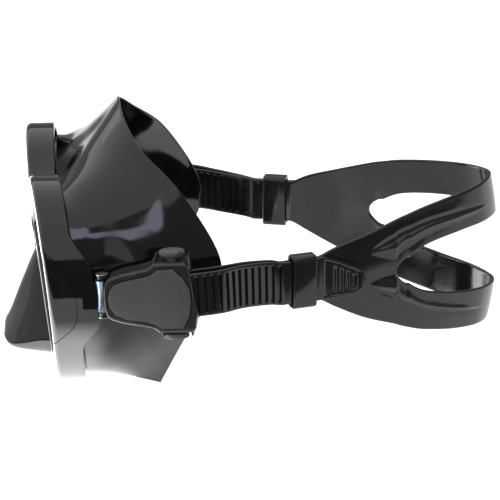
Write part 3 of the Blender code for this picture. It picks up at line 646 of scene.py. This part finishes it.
def build_buckle(side):
    name = SIDE_NAME[side]
    body_name = f"buckle_{name}"

    def piece(what, part):
        return by_buckle(what, part, side)

    outline = housing_outline()
    top = COVER_W[0] - GAP
    half_inside = [(3.8, 7.9), (10, 9.0), (18, CHEEK_IN), (60, CHEEK_IN)]
    inner = [(u, -v) for u, v in half_inside] + half_inside[::-1]
    cuts = [
        ("inside", slab_w(inner, [(BASE_W[1], 0), (20.0, 0)])),
        ("behind", box((36.0, 60.0), (-CHEEK_IN, CHEEK_IN), (-20.0, 20.0))),
        ("swing", box((-20, 4.2), (-7.9, 7.9), (-20.0, 20.0))),
    ]
    steps = [("DIFFERENCE", piece(*part)) for part in cuts]
    for up in (1, -1):
        ear = [(7.9, EAR_R - 0.25), (8.15, EAR_R), (9.6, EAR_R), (EAR_HALF, EAR_R - 0.3)]
        steps.append(("UNION", piece("ear", turned_v(0, 0, [(up * v, radius) for v, radius in ear]))))
    cuts = [
        ("pin", rod_v(0, 0, PIN_BORE_R, -THROUGH, THROUGH)),
        ("roller_pin", rod_v(ROLLER_U, 0, ROLLER_PIN_R, -13.6, 13.6)),
        ("pawl_pin", rod_v(PAWL_U, PAWL_W, PAWL_PIN_R, -THROUGH, THROUGH)),
    ]
    for up in (1, -1):
        cuts.append(("pocket", rod_v(BUTTON_U, 0, POCKET_R, up * POCKET_FLOOR, up * THROUGH, 40)))
        cuts.append(("stem", rod_v(BUTTON_U, 0, STEM_R, up * 8, up * 13)))
    steps += [("DIFFERENCE", piece(*part)) for part in cuts]
    profile = [(BASE_W[0], 0.7), (BASE_W[0] + 0.2, 0.25), (BASE_W[0] + 0.7, 0), (top - 0.25, 0), (top, 0.2)]
    housing = carve(piece(f"buckle_housing_{name}", slab_w(outline, profile)), steps)
    dress(housing, "buckle_plastic", body_name, [f"buckle_body_{name}"], edges=[0.18, 50])

    low, high = BASE_W[0] + 0.4, 5.5
    levels = [(low, 0.35), (low + 0.15, 0.1), (low + 0.4, 0), (high - 0.4, 0), (high - 0.15, 0.1), (high, 0.35)]
    points, faces = [], []
    for up in (1, -1):
        for start, end in POST_SPANS[up]:
            post = [(start + 0.5, POST_TOP), (end - 0.3, POST_TOP), (end, POST_FOOT), (start - 0.6, POST_FOOT)]
            more, sides = slab_w([(u, up * v) for u, v in post[::-up]], levels)
            faces += [tuple(i + len(points) for i in side) for side in sides]
            points += more
    dress(piece(f"button_posts_{name}", (points, faces)), "buckle_plastic", body_name, [])

    pad = pad_outline()
    low, middle, high = COVER_W
    profile = [(low, 0.2), (low + 0.25, 0), (6.75, 0), (7.05, 0.07), (7.3, 0.26), (7.45, 0.55), (high, 0.95)]
    cover = piece(f"buckle_plate_{name}", slab_w(outline, profile))
    profile = [(middle, 0), (high - 0.35, 0), (high - 0.1, -0.08), (high + 0.05, -0.3), (20.0, -0.3)]
    carve(cover, [("DIFFERENCE", piece("recess", slab_w(grown(pad, GAP), profile)))])
    dress(cover, "buckle_plastic", body_name, [f"buckle_cover_{name}"])

    high += 0.5
    profile = [(middle + GAP, 0), (high - 0.45, 0), (high - 0.2, 0.06), (high - 0.05, 0.22), (high, 0.5)]
    face = piece(f"buckle_inlay_{name}", slab_w(pad, profile))
    dress(face, "pad_plastic", body_name, [f"buckle_pad_{name}"])

    waist = [(v, 2.45 + 0.75 * (abs(v) / 7.3) ** 2.2) for v in (-7.3 + 14.6 * k / 20 for k in range(21))]
    profile = [(-7.4, 1.75), *waist, (7.4, 1.75)]
    sleeve = piece(f"hinge_sleeve_{name}", turned_v(0, 0, profile))
    carve(sleeve, [("DIFFERENCE", piece("bore", rod_v(0, 0, SLEEVE_BORE_R, -THROUGH, THROUGH)))])
    dress(sleeve, "blued_steel", "mask", [])
    head = [(9.95, 1.2), (9.96, 2.75), (10.05, 2.95), (10.25, 2.95), (10.35, 2.7)]
    heads = [(-v, radius) for v, radius in head[::-1]] + head
    dress(piece(f"hinge_pin_{name}", turned_v(0, 0, heads)), "steel", "mask", [f"swivel_pin_{name}"])

    for up, level in ((1, "upper"), (-1, "lower")):
        build_button(piece, up, level, name)
        build_coil(piece, up, level, name, side)
    for node in ("strap_roller", "roller_pin", "pawl_pin"):
        carry(f"{node}_{name}", "steel")
    carry(f"pawl_{name}", "pad_plastic")


def carry(node, paint):
    """A CAD node that stays as it is, with a better finish."""
    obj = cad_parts[node]
    obj.data.materials.clear()
    obj.data.materials.append(PAINTS[paint])


def build_button(piece, up, level, name):
    half_length, half_width, thickness = BUTTON_CAP
    flutes, per = 34, 4
    top = BUTTON_UNDER + thickness
    count = flutes * per

    def ring(radius, v):
        return circle(radius, count, (BUTTON_U, 0)), v

    def oval(scale, v, bite=0.0):
        points = []
        for i in range(count):
            angle = 2 * math.pi * i / count
            size = scale * (1.0 - bite * (0.5 - 0.5 * math.cos(2 * math.pi * i / per)))
            points.append((BUTTON_U + half_length * size * math.cos(angle), half_width * size * math.sin(angle)))
        return points, v

    low, dome = BUTTON_UNDER, top - 0.78
    profile = [
        ring(1.4, 11.3), ring(1.4, 16.2), ring(3.2, 16.2), ring(3.2, low - 0.15),
        oval(0.86, low - 0.15), oval(0.96, low + 0.1, 0.02), oval(1.0, low + 0.5, 0.05), oval(1.0, top - 1.3, 0.05),
        oval(0.98, top - 0.95, 0.03), oval(0.93, top - 0.72), oval(0.88, dome), oval(0.84, top - 0.9), oval(0.80, dome),
    ]  # fmt: skip
    for k in range(1, 8):
        size = 0.80 * (1 - k / 8)
        profile.append(oval(size, dome + 0.78 * (1 - (size / 0.8) ** 2)))
    rings = [[(a, up * v, b) for a, b in points] for points, v in profile]
    cap = piece(f"button_cap_{level}_{name}", loft(rings))
    dress(cap, "button_plastic", f"{level}_button_{name}", [f"button_{level}_{name}"], angle=45)


def build_coil(piece, up, level, name, side):
    """A button's return spring."""
    turns, per_turn, wire, radius = 2.5, 28, 0.2, 2.25
    low, high = 13.05 + wire, 15.75 - wire
    count = int(turns * per_turn)
    rings = []
    for i in range(count + 1):
        angle = 2 * math.pi * i / per_turn
        v = low + (high - low) * i / count
        cos, sin = math.cos(angle), math.sin(angle)
        rings.append([(BUTTON_U + (radius + a) * cos, up * (v + b), (radius + a) * sin) for a, b in circle(wire, 10)])
    coil = piece(f"button_coil_{level}_{name}", loft(rings))
    dress(coil, "steel", None, [f"button_spring_{level}_{name}"], angle=60)
    start, end = (buckle_matrix(side) @ (Vector((BUTTON_U, up * v, 0)) * MM) for v in (11.0, 18.0))
    tuple(start)
    tuple(end)
    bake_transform(coil)


# ---------------------------------------------------------------- strap and keepers


def in_mask(u, w):
    """A point of the left buckle's middle plane in the mask's own axes."""
    return tuple(TO_ROW.inverted() @ buckle_matrix(LEFT) @ (Vector((u, 0, w)) * MM) / MM)


def by_keeper(along, layer):
    """A point of the outer (1) or inner (-1) layer of strap within the left keeper, or along its line."""
    offset = layer * (STRAP_T + GAP) / 2
    sin, cos = math.sin(KEEPER_TURN), math.cos(KEEPER_TURN)
    x, y, z = KEEPER_AT
    return x + offset * cos - along * sin, y + offset * sin + along * cos, z


def strap_stations():
    """The left half of the strap, tip of the tail to the back of the head: x, y, z, heights above and below,
    half height of the opening, forward lean for each unit of height, and cupping round the head."""
    even = (STRAP_HALF, STRAP_HALF, 0.0)
    tail = [
        ((59.4, 158.6, 63.0), (0.6, 0.6, 0.0)), ((60.2, 155.8, 63.4), (5.4, 5.4, 0.0)),
        ((61.7, 150.2, 64.0), (8.0, 8.0, 0.0)), *((by_keeper(k, 1), even) for k in (12, 7, 0, -7, -11)),
        ((72.6, 112.0, 66.6), even, -0.02), ((79.5, 100.0, 67.8), even, -0.03), ((87.4, 89.0, 68.2), even, -0.05),
        *((in_mask(u, LAYER_W), even, -0.05) for u in (40.5, 33, ROLLER_U)),
    ]  # fmt: skip
    turn = []
    for degrees in range(20, 180, 20):
        a = math.radians(degrees)
        turn.append((in_mask(ROLLER_U - LAYER_W * math.sin(a), LAYER_W * math.cos(a)), even, -0.05))
    run = [
        *((in_mask(u, -LAYER_W), even, -0.05) for u in (ROLLER_U, 33, 40.5)),
        ((80.0, 90.5, 68.0), even, -0.05), ((74.0, 101.5, 67.6), even, -0.03), ((69.0, 113.0, 66.5), even, -0.02),
        *((by_keeper(k, -1), even) for k in (-11, -7, 0, 6)),
        (by_keeper(9.5, -1), (10.8, 10.8, 0.0)), ((60.2, 145.0, 65.2), (14.4, 15.0, 0.0), 0.0, 0.001),
        ((56.2, 159.0, 64.6), (19.0, 21.5, 0.0), 0.0, 0.002), ((50.4, 174.0, 63.8), (24.4, 26.5, 0.2), 0.0, 0.003),
        ((47.6, 180.0, 63.3), (26.4, 28.6, 6.0), 0.0, 0.003), ((42.3, 190.0, 62.6), (29.3, 31.5, 11.5), 0.0, 0.003),
        ((31.2, 207.0, 61.6), (32.6, 34.5, 15.0), 0.0, 0.003), ((17.2, 222.0, 60.8), (35.0, 36.0, 16.6), 0.0, 0.003),
        ((0.0, 229.0, 60.6), (36.2, 36.2, 17.2), 0.0, 0.003),
    ]  # fmt: skip
    return [(*at, *spans, *more, *(0.0, 0.0)[len(more):]) for at, spans, *more in tail + turn + run]


class Path:
    """The strap's middle line, with every width and angle along it, by distance from the tail's tip."""

    def __init__(self):
        stations = strap_stations()
        beyond = stations[-2]
        rows = spline(stations + [(-beyond[0], *beyond[1:])], 12)[: 12 * (len(stations) - 1) + 1]
        self.rows, at_station = [], []
        length = 0.0
        for i, row in enumerate(rows):
            if i:
                length += (Vector(row[:3]) - Vector(rows[i - 1][:3])).length
            if i % 12 == 0:
                at_station.append(length)
            self.rows.append((length, row))
        self.total = length
        reached = {station[:3]: length for station, length in zip(stations, at_station)}
        self.turn_start = reached[in_mask(ROLLER_U, LAYER_W)]
        self.turn_end = reached[in_mask(ROLLER_U, -LAYER_W)]
        self.under_keeper = reached[by_keeper(0, -1)]
        self.split = at_station[-6]

    def at(self, s):
        next_row = min(max(bisect.bisect_right(self.rows, s, key=lambda row: row[0]), 1), len(self.rows) - 1)
        (s0, a), (s1, b) = self.rows[next_row - 1 : next_row + 1]
        t = min(1.0, max(0.0, (s - s0) / max(s1 - s0, 1e-9)))
        return [p + (q - p) * t for p, q in zip(a, b)]

    def out(self, s):
        """The direction of the grooved face."""
        before, after = self.at(max(s - 0.6, 0.0)), self.at(min(s + 0.6, self.total))
        along = Vector((after[0] - before[0], after[1] - before[1], 0)).normalized()
        if s >= self.total - 1e-6:
            along = Vector((-1, 0, 0))
        return Vector((-along.y, along.x, 0))


def tail_grooves(path):
    """(start, end) of each groove along the tail and along the run under it."""
    spans = []
    for k in range(GROOVES):
        before, after = path.turn_start - 1.4 - GROOVE_PITCH * k, path.turn_end + 1.4 + GROOVE_PITCH * k
        spans += [(before - GROOVE_WIDTH, before), (after, after + GROOVE_WIDTH)]
    return sorted(spans)


def groove_depth(spans, s, half, h):
    """How deep the grooved face lies at a distance along the strap and a height from its middle."""
    inside = half - RIM - abs(h)
    if inside <= -0.3:
        return 0.0
    side = smoothstep(-0.3, 0.25, inside)
    depth = 0.0
    for start, end in spans:
        if start - 0.4 <= s <= end + 0.4:
            into = smoothstep(start - 0.16, start + 0.16, s) * (1 - smoothstep(end - 0.16, end + 0.16, s))
            depth = max(depth, GROOVE_DEPTH * into)
    return depth * side


def tip_depth(s, half, h):
    """The recessed panel near the tail's tip and its four grooves."""
    panel_start, panel_end = 3.2, 20.5
    edge = 1.5
    inside = min(half - edge - abs(h), s - panel_start, panel_end - s)
    depth = 0.34 * smoothstep(-0.2, 0.2, inside)
    for k, height in enumerate((3.0, 4.4, 5.4, 6.0)):
        start = 5.2 + 3.1 * k
        within = min(height - abs(h + 0.4), 1.0)
        if within > -0.2 and start - 0.4 < s < start + 1.9:
            along = smoothstep(start - 0.3, start + 0.25, s) * (1 - smoothstep(start + 1.0, start + 1.6, s))
            depth += 0.65 * smoothstep(-0.2, 0.2, within) * along
    return depth


def band_relief(path, s, t, band):
    """Height of the long pointed ridge on a rear band's outward face. t runs from the strap's edge to the opening."""
    a, b = path.split - 15.0, path.total - 17.0
    if not a < s < b:
        return 0.0
    f = (s - a) / (b - a)
    crest = 0.48 + 0.14 * f if band > 0 else 0.76 - 0.27 * f
    wide = (0.30 + 0.70 * (1 - f)) * smoothstep(-0.05, 0.22, f)
    rise = smoothstep(0.0, 0.14, f) * (1 - smoothstep(0.72, 1.0, f))
    x = t - crest
    part = x / (0.10 * wide + 0.012) if x < 0 else x / (0.27 * wide + 0.02)
    ridge = max(0.0, 1 - part * part) if x < 0 else max(0.0, 1 - part) ** 1.3
    hollow = math.exp(-(((x + 0.17 * wide + 0.02) / (0.07 * wide + 0.02)) ** 2))
    return rise * (1.15 * ridge - 0.42 * hollow)


COARSE = [0, 0.012, 0.03, 0.055, 0.09, 0.12, 0.148, 0.166, 0.184, 0.2, 0.24, 0.3, 0.36, 0.42, 0.48, 0.54, 0.6, 0.66,
          0.72, 0.78, 0.84, 0.89, 0.93, 0.965, 0.985, 1.0]  # fmt: skip
FINE = [0, 0.012, 0.03, 0.055, 0.09, 0.13, *(0.16 + 0.02 * k for k in range(40)), 0.965, 0.985, 1.0]


def strap_rows(up, down, opening, steps):
    """Heights across the strap, from top to bottom, as (height, band, t, distance to the nearest free edge)."""
    rows = []
    gap = max(opening, 0.1)
    for band, far, order in ((1, up, steps), (-1, down, reversed(steps))):
        for t in order:
            h = band * (far + (gap - far) * t)
            edge = far - band * h
            if opening > 0.3:
                edge = min(edge, band * h - gap)
            rows.append((h, band, t, edge))
    return rows


def strap_column(path, s, spans, here=None, out=None):
    """One column across the strap, as (grooved face, plain face) points, and whether it is open in the middle."""
    x, y, z, up, down, opening, lean, cup_round = path.at(s) if here is None else here
    out = path.out(s) if out is None else out
    since = s - path.split
    if since < 0.02:
        opening = 0.0
    elif since < 8:
        opening = max(opening, min(2.7 * math.sqrt(since), 6.4))
    points = []
    steps = COARSE if s < path.under_keeper else FINE
    for h, band, t, edge in strap_rows(up, down, opening, steps):
        near = max(0.0, min(1.0, edge / 0.8))
        half_here = 0.38 + (STRAP_T / 2 - 0.38) * math.sqrt(1 - (1 - near) ** 2)
        middle = Vector((x, y + lean * h, z + h)) + out * cup_round * h * h
        width = up if h >= 0 else down
        depth = groove_depth(spans, s, width, h) if s < path.under_keeper + 1 else 0.0
        if s < TIP_END:
            depth = max(depth, tip_depth(s, width, h))
        relief = band_relief(path, s, t, band) if s > path.under_keeper else 0.0
        points.append((middle + out * (half_here - min(depth, half_here * 1.5)), middle - out * (half_here + relief)))
    return points, opening > 0.3


def strap_mesh(columns):
    """A closed band from columns of (grooved face, plain face) points, open between its arms where a column says so."""
    points, faces = [], []
    rows, last = len(columns[0][0]), len(columns) - 1
    for column, _ in columns:
        for outer, inner in column:
            points += [tuple(outer), tuple(inner)]
    middle = rows // 2 - 1
    solid = [[not (r == middle and columns[c][1] and columns[c + 1][1]) for r in range(rows - 1)] for c in range(last)]
    for c in range(last):
        for r in range(rows - 1):
            if not solid[c][r]:
                continue
            p, q = (c * rows + r) * 2, ((c + 1) * rows + r) * 2  # the plain face's point follows the grooved face's
            faces += [(p, q, q + 2, p + 2), (p + 1, p + 3, q + 3, q + 1)]
            if r == 0 or not solid[c][r - 1]:
                faces.append((p, p + 1, q + 1, q))
            if r == rows - 2 or not solid[c][r + 1]:
                faces.append((p + 2, q + 2, q + 3, p + 3))
            if c == 0 or not solid[c - 1][r]:
                faces.append((p, p + 2, p + 3, p + 1))
            if c == last - 1 or not solid[c + 1][r]:
                faces.append((q, q + 1, q + 3, q + 2))
    return points, faces


def every(step, start, end):
    """Distances from a start to an end."""
    while start < end:
        yield start
        start += step


def build_strap():
    path = Path()
    spans = tail_grooves(path)
    stops = {0.0, 0.15, 0.4, 0.8, 1.4, 2.0, 2.6, 3.2}
    stops.update(round(s, 3) for s in every(0.35, 3.6, TIP_END))
    for start, end in spans:
        for d in (-0.3, -0.16, 0.0, 0.16):
            stops.add(start + d)
            stops.add(end - d)
        stops.add((start + end) / 2)
    plain = every(0.8, TIP_END, path.under_keeper)
    stops.update(s for s in plain if not any(a - 0.6 < s < b + 0.6 for a, b in spans))
    end_stops = sorted(v for v in stops if v <= path.under_keeper - 0.2) + [path.under_keeper - 0.15]
    end_stops = [v for i, v in enumerate(end_stops) if i == 0 or v - end_stops[i - 1] > 0.03]
    points, faces = strap_mesh([strap_column(path, s, spans) for s in end_stops])
    for side in (LEFT, RIGHT):
        name = SIDE_NAME[side]
        end = shape(f"strap_end_{name}", [(side * x, y, z) for x, y, z in points], faces)
        dress(end, "strap_rubber", None, ["strap"], angle=50)
        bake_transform(end)

    back_stops = [path.under_keeper + 0.15, *every(1.2, path.under_keeper + 1.2, path.split - 0.6)]
    back_stops += [path.split + d for d in (0.0, 0.06, 0.15, 0.3, 0.5, 0.8, 1.2, 1.8, 2.5, 3.3, 4.2, 5.2, 6.3)]
    back_stops += [*every(1.3, path.split + 7.5, path.total - 0.7), path.total]
    half = [(s, path.at(s), path.out(s)) for s in back_stops]
    columns = [strap_column(path, s, spans) for s in back_stops]
    for s, here, out in half[-2::-1]:
        columns.append(strap_column(path, s, spans, [-here[0], *here[1:]], Vector((-out.x, out.y, 0))))
    back = shape("strap_back", *strap_mesh(columns))
    dress(back, "strap_rubber", None, ["strap"], angle=50)
    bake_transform(back)


def row(x, y, z):
    return tuple(TO_ROW @ (Vector((x, y, z)) * MM))


def rounded_box(half_u, half_v, radius):
    ring, steps = [], 8
    for corner, (a, b) in enumerate(((1, 1), (-1, 1), (-1, -1), (1, -1))):
        for k in range(steps + 1):
            angle = math.pi / 2 * (corner + k / steps)
            u, v = a * (half_u - radius), b * (half_v - radius)
            ring.append((u + radius * math.cos(angle), v + radius * math.sin(angle)))
    return ring


def build_keeper(side):
    name = SIDE_NAME[side]
    place = Matrix.Translation(Vector((side * KEEPER_AT[0], *KEEPER_AT[1:])) * MM)
    turned = TO_ROW @ (place @ Matrix.Rotation(side * KEEPER_TURN, 4, "Z"))
    outer, inner = rounded_box(4.2, 12.7, 2.6), rounded_box(2.7, 11.0, 1.6)
    half = KEEPER_LENGTH / 2
    outside, inside = quarter(0.6, 4), quarter(0.35, 3)
    rings = [(grown(outer, -inset), -half - rise) for inset, rise in outside[::-1]]
    rings += [(grown(outer, -inset), half + rise) for inset, rise in outside]
    rings += [(grown(inner, inset), half + rise) for inset, rise in inside[::-1]]
    rings += [(grown(inner, inset), -half - rise) for inset, rise in inside]
    part = loft([[(x, y, z) for x, z in ring] for ring, y in rings], closed=True)
    keeper = shape(f"keeper_band_{name}", *part, turned)
    dress(keeper, "strap_rubber", f"keeper_{name}", [f"strap_keeper_{name}"], angle=45)


# ---------------------------------------------------------------- stage


def glow(name, colour, strength, base=0.0, specular=0.0):
    material = bpy.data.materials.new(name)
    material.use_nodes = True
    shader = material.node_tree.nodes["Principled BSDF"]
    set_inputs(shader, Base_Color=(base, base, base, 1), Specular_IOR_Level=specular)
    set_inputs(shader, Emission_Color=(*colour, 1), Emission_Strength=strength)
    return material


def fade(material, strength, along, across):
    """Let a glow fade out over a span of y and a span of x."""
    tree = material.node_tree
    place = tree.nodes.new("ShaderNodeNewGeometry")
    split = tree.nodes.new("ShaderNodeSeparateXYZ")
    tree.links.new(place.outputs["Position"], split.inputs[0])
    product = tree.nodes.new("ShaderNodeMath")
    product.operation = "MULTIPLY"
    for slot, (axis, (near, far)) in enumerate((("Y", along), ("X", across))):
        ramp = tree.nodes.new("ShaderNodeMapRange")
        ramp.interpolation_type = "SMOOTHSTEP"
        tree.links.new(split.outputs[axis], ramp.inputs["Value"])
        set_inputs(ramp, From_Min=near, From_Max=far, To_Min=1.0, To_Max=0.0)
        tree.links.new(ramp.outputs["Result"], product.inputs[slot])
    level = tree.nodes.new("ShaderNodeMath")
    level.operation = "MULTIPLY_ADD"
    tree.links.new(product.outputs[0], level.inputs[0])
    level.inputs[1].default_value, level.inputs[2].default_value = strength
    tree.links.new(level.outputs[0], tree.nodes["Principled BSDF"].inputs["Emission Strength"])


def stage_sheet(name, points, faces, material, camera=False, glossy=True, diffuse=False):
    """A part of the studio, seen only by the rays that it is for."""
    mesh = bpy.data.meshes.new(name)
    mesh.from_pydata(points, [], faces)
    mesh.materials.append(material)
    obj = placed(name, mesh)
    obj.visible_camera, obj.visible_glossy, obj.visible_diffuse = camera, glossy, diffuse
    obj.visible_shadow = False
    obj.visible_transmission = camera
    return obj


def flat_sheet(name, x, y, z, material, **rays):
    """A level rectangle over a span of x and a span of y."""
    corners = [(x[0], y[0], z), (x[1], y[0], z), (x[1], y[1], z), (x[0], y[1], z)]
    return stage_sheet(name, corners, [(0, 1, 2, 3)], material, **rays)


def unit(azimuth, elevation):
    """The direction to an azimuth, 0 in front of the mask and 90 to its left, and an elevation."""
    a, e = math.radians(azimuth), math.radians(elevation)
    return Vector((math.sin(a) * math.cos(e), -math.cos(a) * math.cos(e), math.sin(e)))


def far_panel(name, directions, material):
    """A flat panel whose corners lie in the given directions from the middle of the object."""
    corners = [unit(*at) * PANEL_AWAY + Vector(MIDDLE) for at in directions]
    stage_sheet(name, corners, [tuple(range(len(corners)))], material)


def lamp(name, place, target, size, power, colour=(1, 1, 1)):
    """A soft light that only lights matt surfaces. What the glossy ones mirror is the sheets of the studio."""
    light = bpy.data.lights.new(name, "AREA")
    light.shape = "RECTANGLE"
    light.size, light.size_y = size
    light.energy, light.color = power, colour
    obj = placed(name, light)
    obj.location = place
    obj.rotation_euler = (Vector(target) - Vector(place)).to_track_quat("-Z", "Y").to_euler()
    obj.visible_glossy = False


MIDDLE = (0, 0, 0.06)
ROOM = 6.0  # half the room's width
TABLE_EDGE = 0.2  # where the pale table ends, on the photographer's side
ROOF_FROM, ROOF_TO, ROOF_RADIUS = math.radians(59), math.radians(184), 1.6
WALL_X, WALL_END = 1.3, 0.11  # where the near wall stands, and how far it reaches towards the strap
PANEL_AWAY = 0.9
CAMERA_AT, CAMERA_AWAY = (85, 17.5), 1.5
LENS_AND_SENSOR = 224.6, 36.0  # millimetres


def build_stage():
    floor = glow("floor", (1, 1, 1), 1.1, base=0.28, specular=0.5)
    set_inputs(floor.node_tree.nodes["Principled BSDF"], Roughness=0.9)
    whole = (-ROOM, ROOM)
    ground = flat_sheet("studio_floor", whole, whole, -0.0003, floor, camera=True, diffuse=True)
    ground.visible_shadow = True
    dome = [(x, y, z) for z in (-1.0, 5.0) for x, y in ((-ROOM, -ROOM), (ROOM, -ROOM), (ROOM, ROOM), (-ROOM, ROOM))]
    walls = [(0, 1, 5, 4), (1, 2, 6, 5), (2, 3, 7, 6), (3, 0, 4, 7), (4, 5, 6, 7)]
    stage_sheet("studio_backdrop", dome, walls, glow("backdrop", (1, 1, 1), 1.0), camera=True, glossy=False)

    # What the underside mirrors is brightest near the lenses. A glowing sheet inside the skirt is a painted reflection
    # on its inner wall, seen only by glossy rays, and the room beyond the table is dark.
    under = glow("table_glow", (1, 1, 1), 1.0)
    fade(under, (6.5, 1.4), (-0.085, -0.052), (0.09, 0.135))
    flat_sheet("table_glow", (-0.4, 0.14), (-0.4, -0.04), 0.0002, under)
    # painted reflection: this glowing sheet sits inside the skirt's cavity and shows only in reflections on its inner
    # wall
    flat_sheet("glow_inside", (-0.0565, -0.02), (-0.075, -0.033), 0.07, glow("glow_inside", (1, 1, 1), 2.2))
    flat_sheet("room_in_front", (TABLE_EDGE, 5), (-3, 3), 0.0005, glow("dark_room", (1.0, 0.95, 0.92), 0.10))

    # A white roof curves from the floor in front of the mask over the object, and a wall closes its near end.
    turns, roof = 24, []
    for k in range(turns + 1):
        angle = ROOF_FROM + (ROOF_TO - ROOF_FROM) * k / turns
        y, z = ROOF_RADIUS * math.cos(angle), ROOF_RADIUS * math.sin(angle)
        roof += [(-2.5, y, z), (WALL_X, y, z)]
    faces = [(2 * k, 2 * k + 1, 2 * k + 3, 2 * k + 2) for k in range(turns)]
    stage_sheet("roof", roof, faces, glow("roof_cloth", (0.97, 1.0, 1.0), 1.25))
    near = [(WALL_X, WALL_END, 0.08), (WALL_X, WALL_END, 1.596)] + [p for p in roof[1::2] if p[1] < WALL_END]
    faces = [(0, k, k + 1) for k in range(1, len(near) - 1)]
    stage_sheet("near_wall", near, faces, glow("wall_cloth", (1.0, 0.99, 0.97), 1.1))
    front = [(x, -1.2, z) for x, z in ((-1.6, 0.0), (0.5, 0.0), (0.5, 1.0), (-1.6, 1.0))]
    stage_sheet("front_wall", front, [(0, 1, 2, 3)], glow("window_cloth", (1.0, 1.0, 1.0), 1.9))

    soft = glow("softbox", (0.80, 0.76, 1.0), 4.6)
    octagon = ((103.5, 51), (108, 52), (112, 46), (113, 37), (111, 30), (106.5, 26.5), (102.5, 31), (101, 42))
    far_panel("softbox", octagon, soft)
    far_panel("softbox_arm", ((103, 35), (103.6, 26), (97, 22), (92.5, 25), (92.5, 33), (98, 33.5)), soft)

    world = bpy.data.worlds.new("studio")
    world.use_nodes = True
    set_inputs(world.node_tree.nodes["Background"], Color=(1.0, 0.94, 0.90, 1), Strength=0.3)
    bpy.context.scene.world = world
    bpy.context.scene.view_settings.view_transform = "Standard"

    lamp("key", (0.6, 0.1, 1.0), MIDDLE, (0.5, 0.6), 9.0, (0.95, 0.94, 1.0))
    lamp("left", (0.1, -1.1, 0.5), MIDDLE, (1.0, 1.0), 14.0)
    lamp("back_wash", (-0.7, 0.2, 1.4), (-0.3, 0, 0.1), (1.4, 2.4), 12.0)


def build_camera():
    back = unit(*CAMERA_AT)
    camera = bpy.data.cameras.new("photo_view")
    camera.lens, camera.sensor_width = LENS_AND_SENSOR
    obj = placed("photo_view", camera)
    obj.location = Vector(row(0, 110, 60)) + back * CAMERA_AWAY
    obj.rotation_euler = back.to_track_quat("Z", "Y").to_euler()
    bpy.context.scene.camera = obj


build_stage()
build_camera()
build_front()
build_skirt()
for wearer_side in (LEFT, RIGHT):
    build_buckle(wearer_side)
    build_keeper(wearer_side)
build_strap()
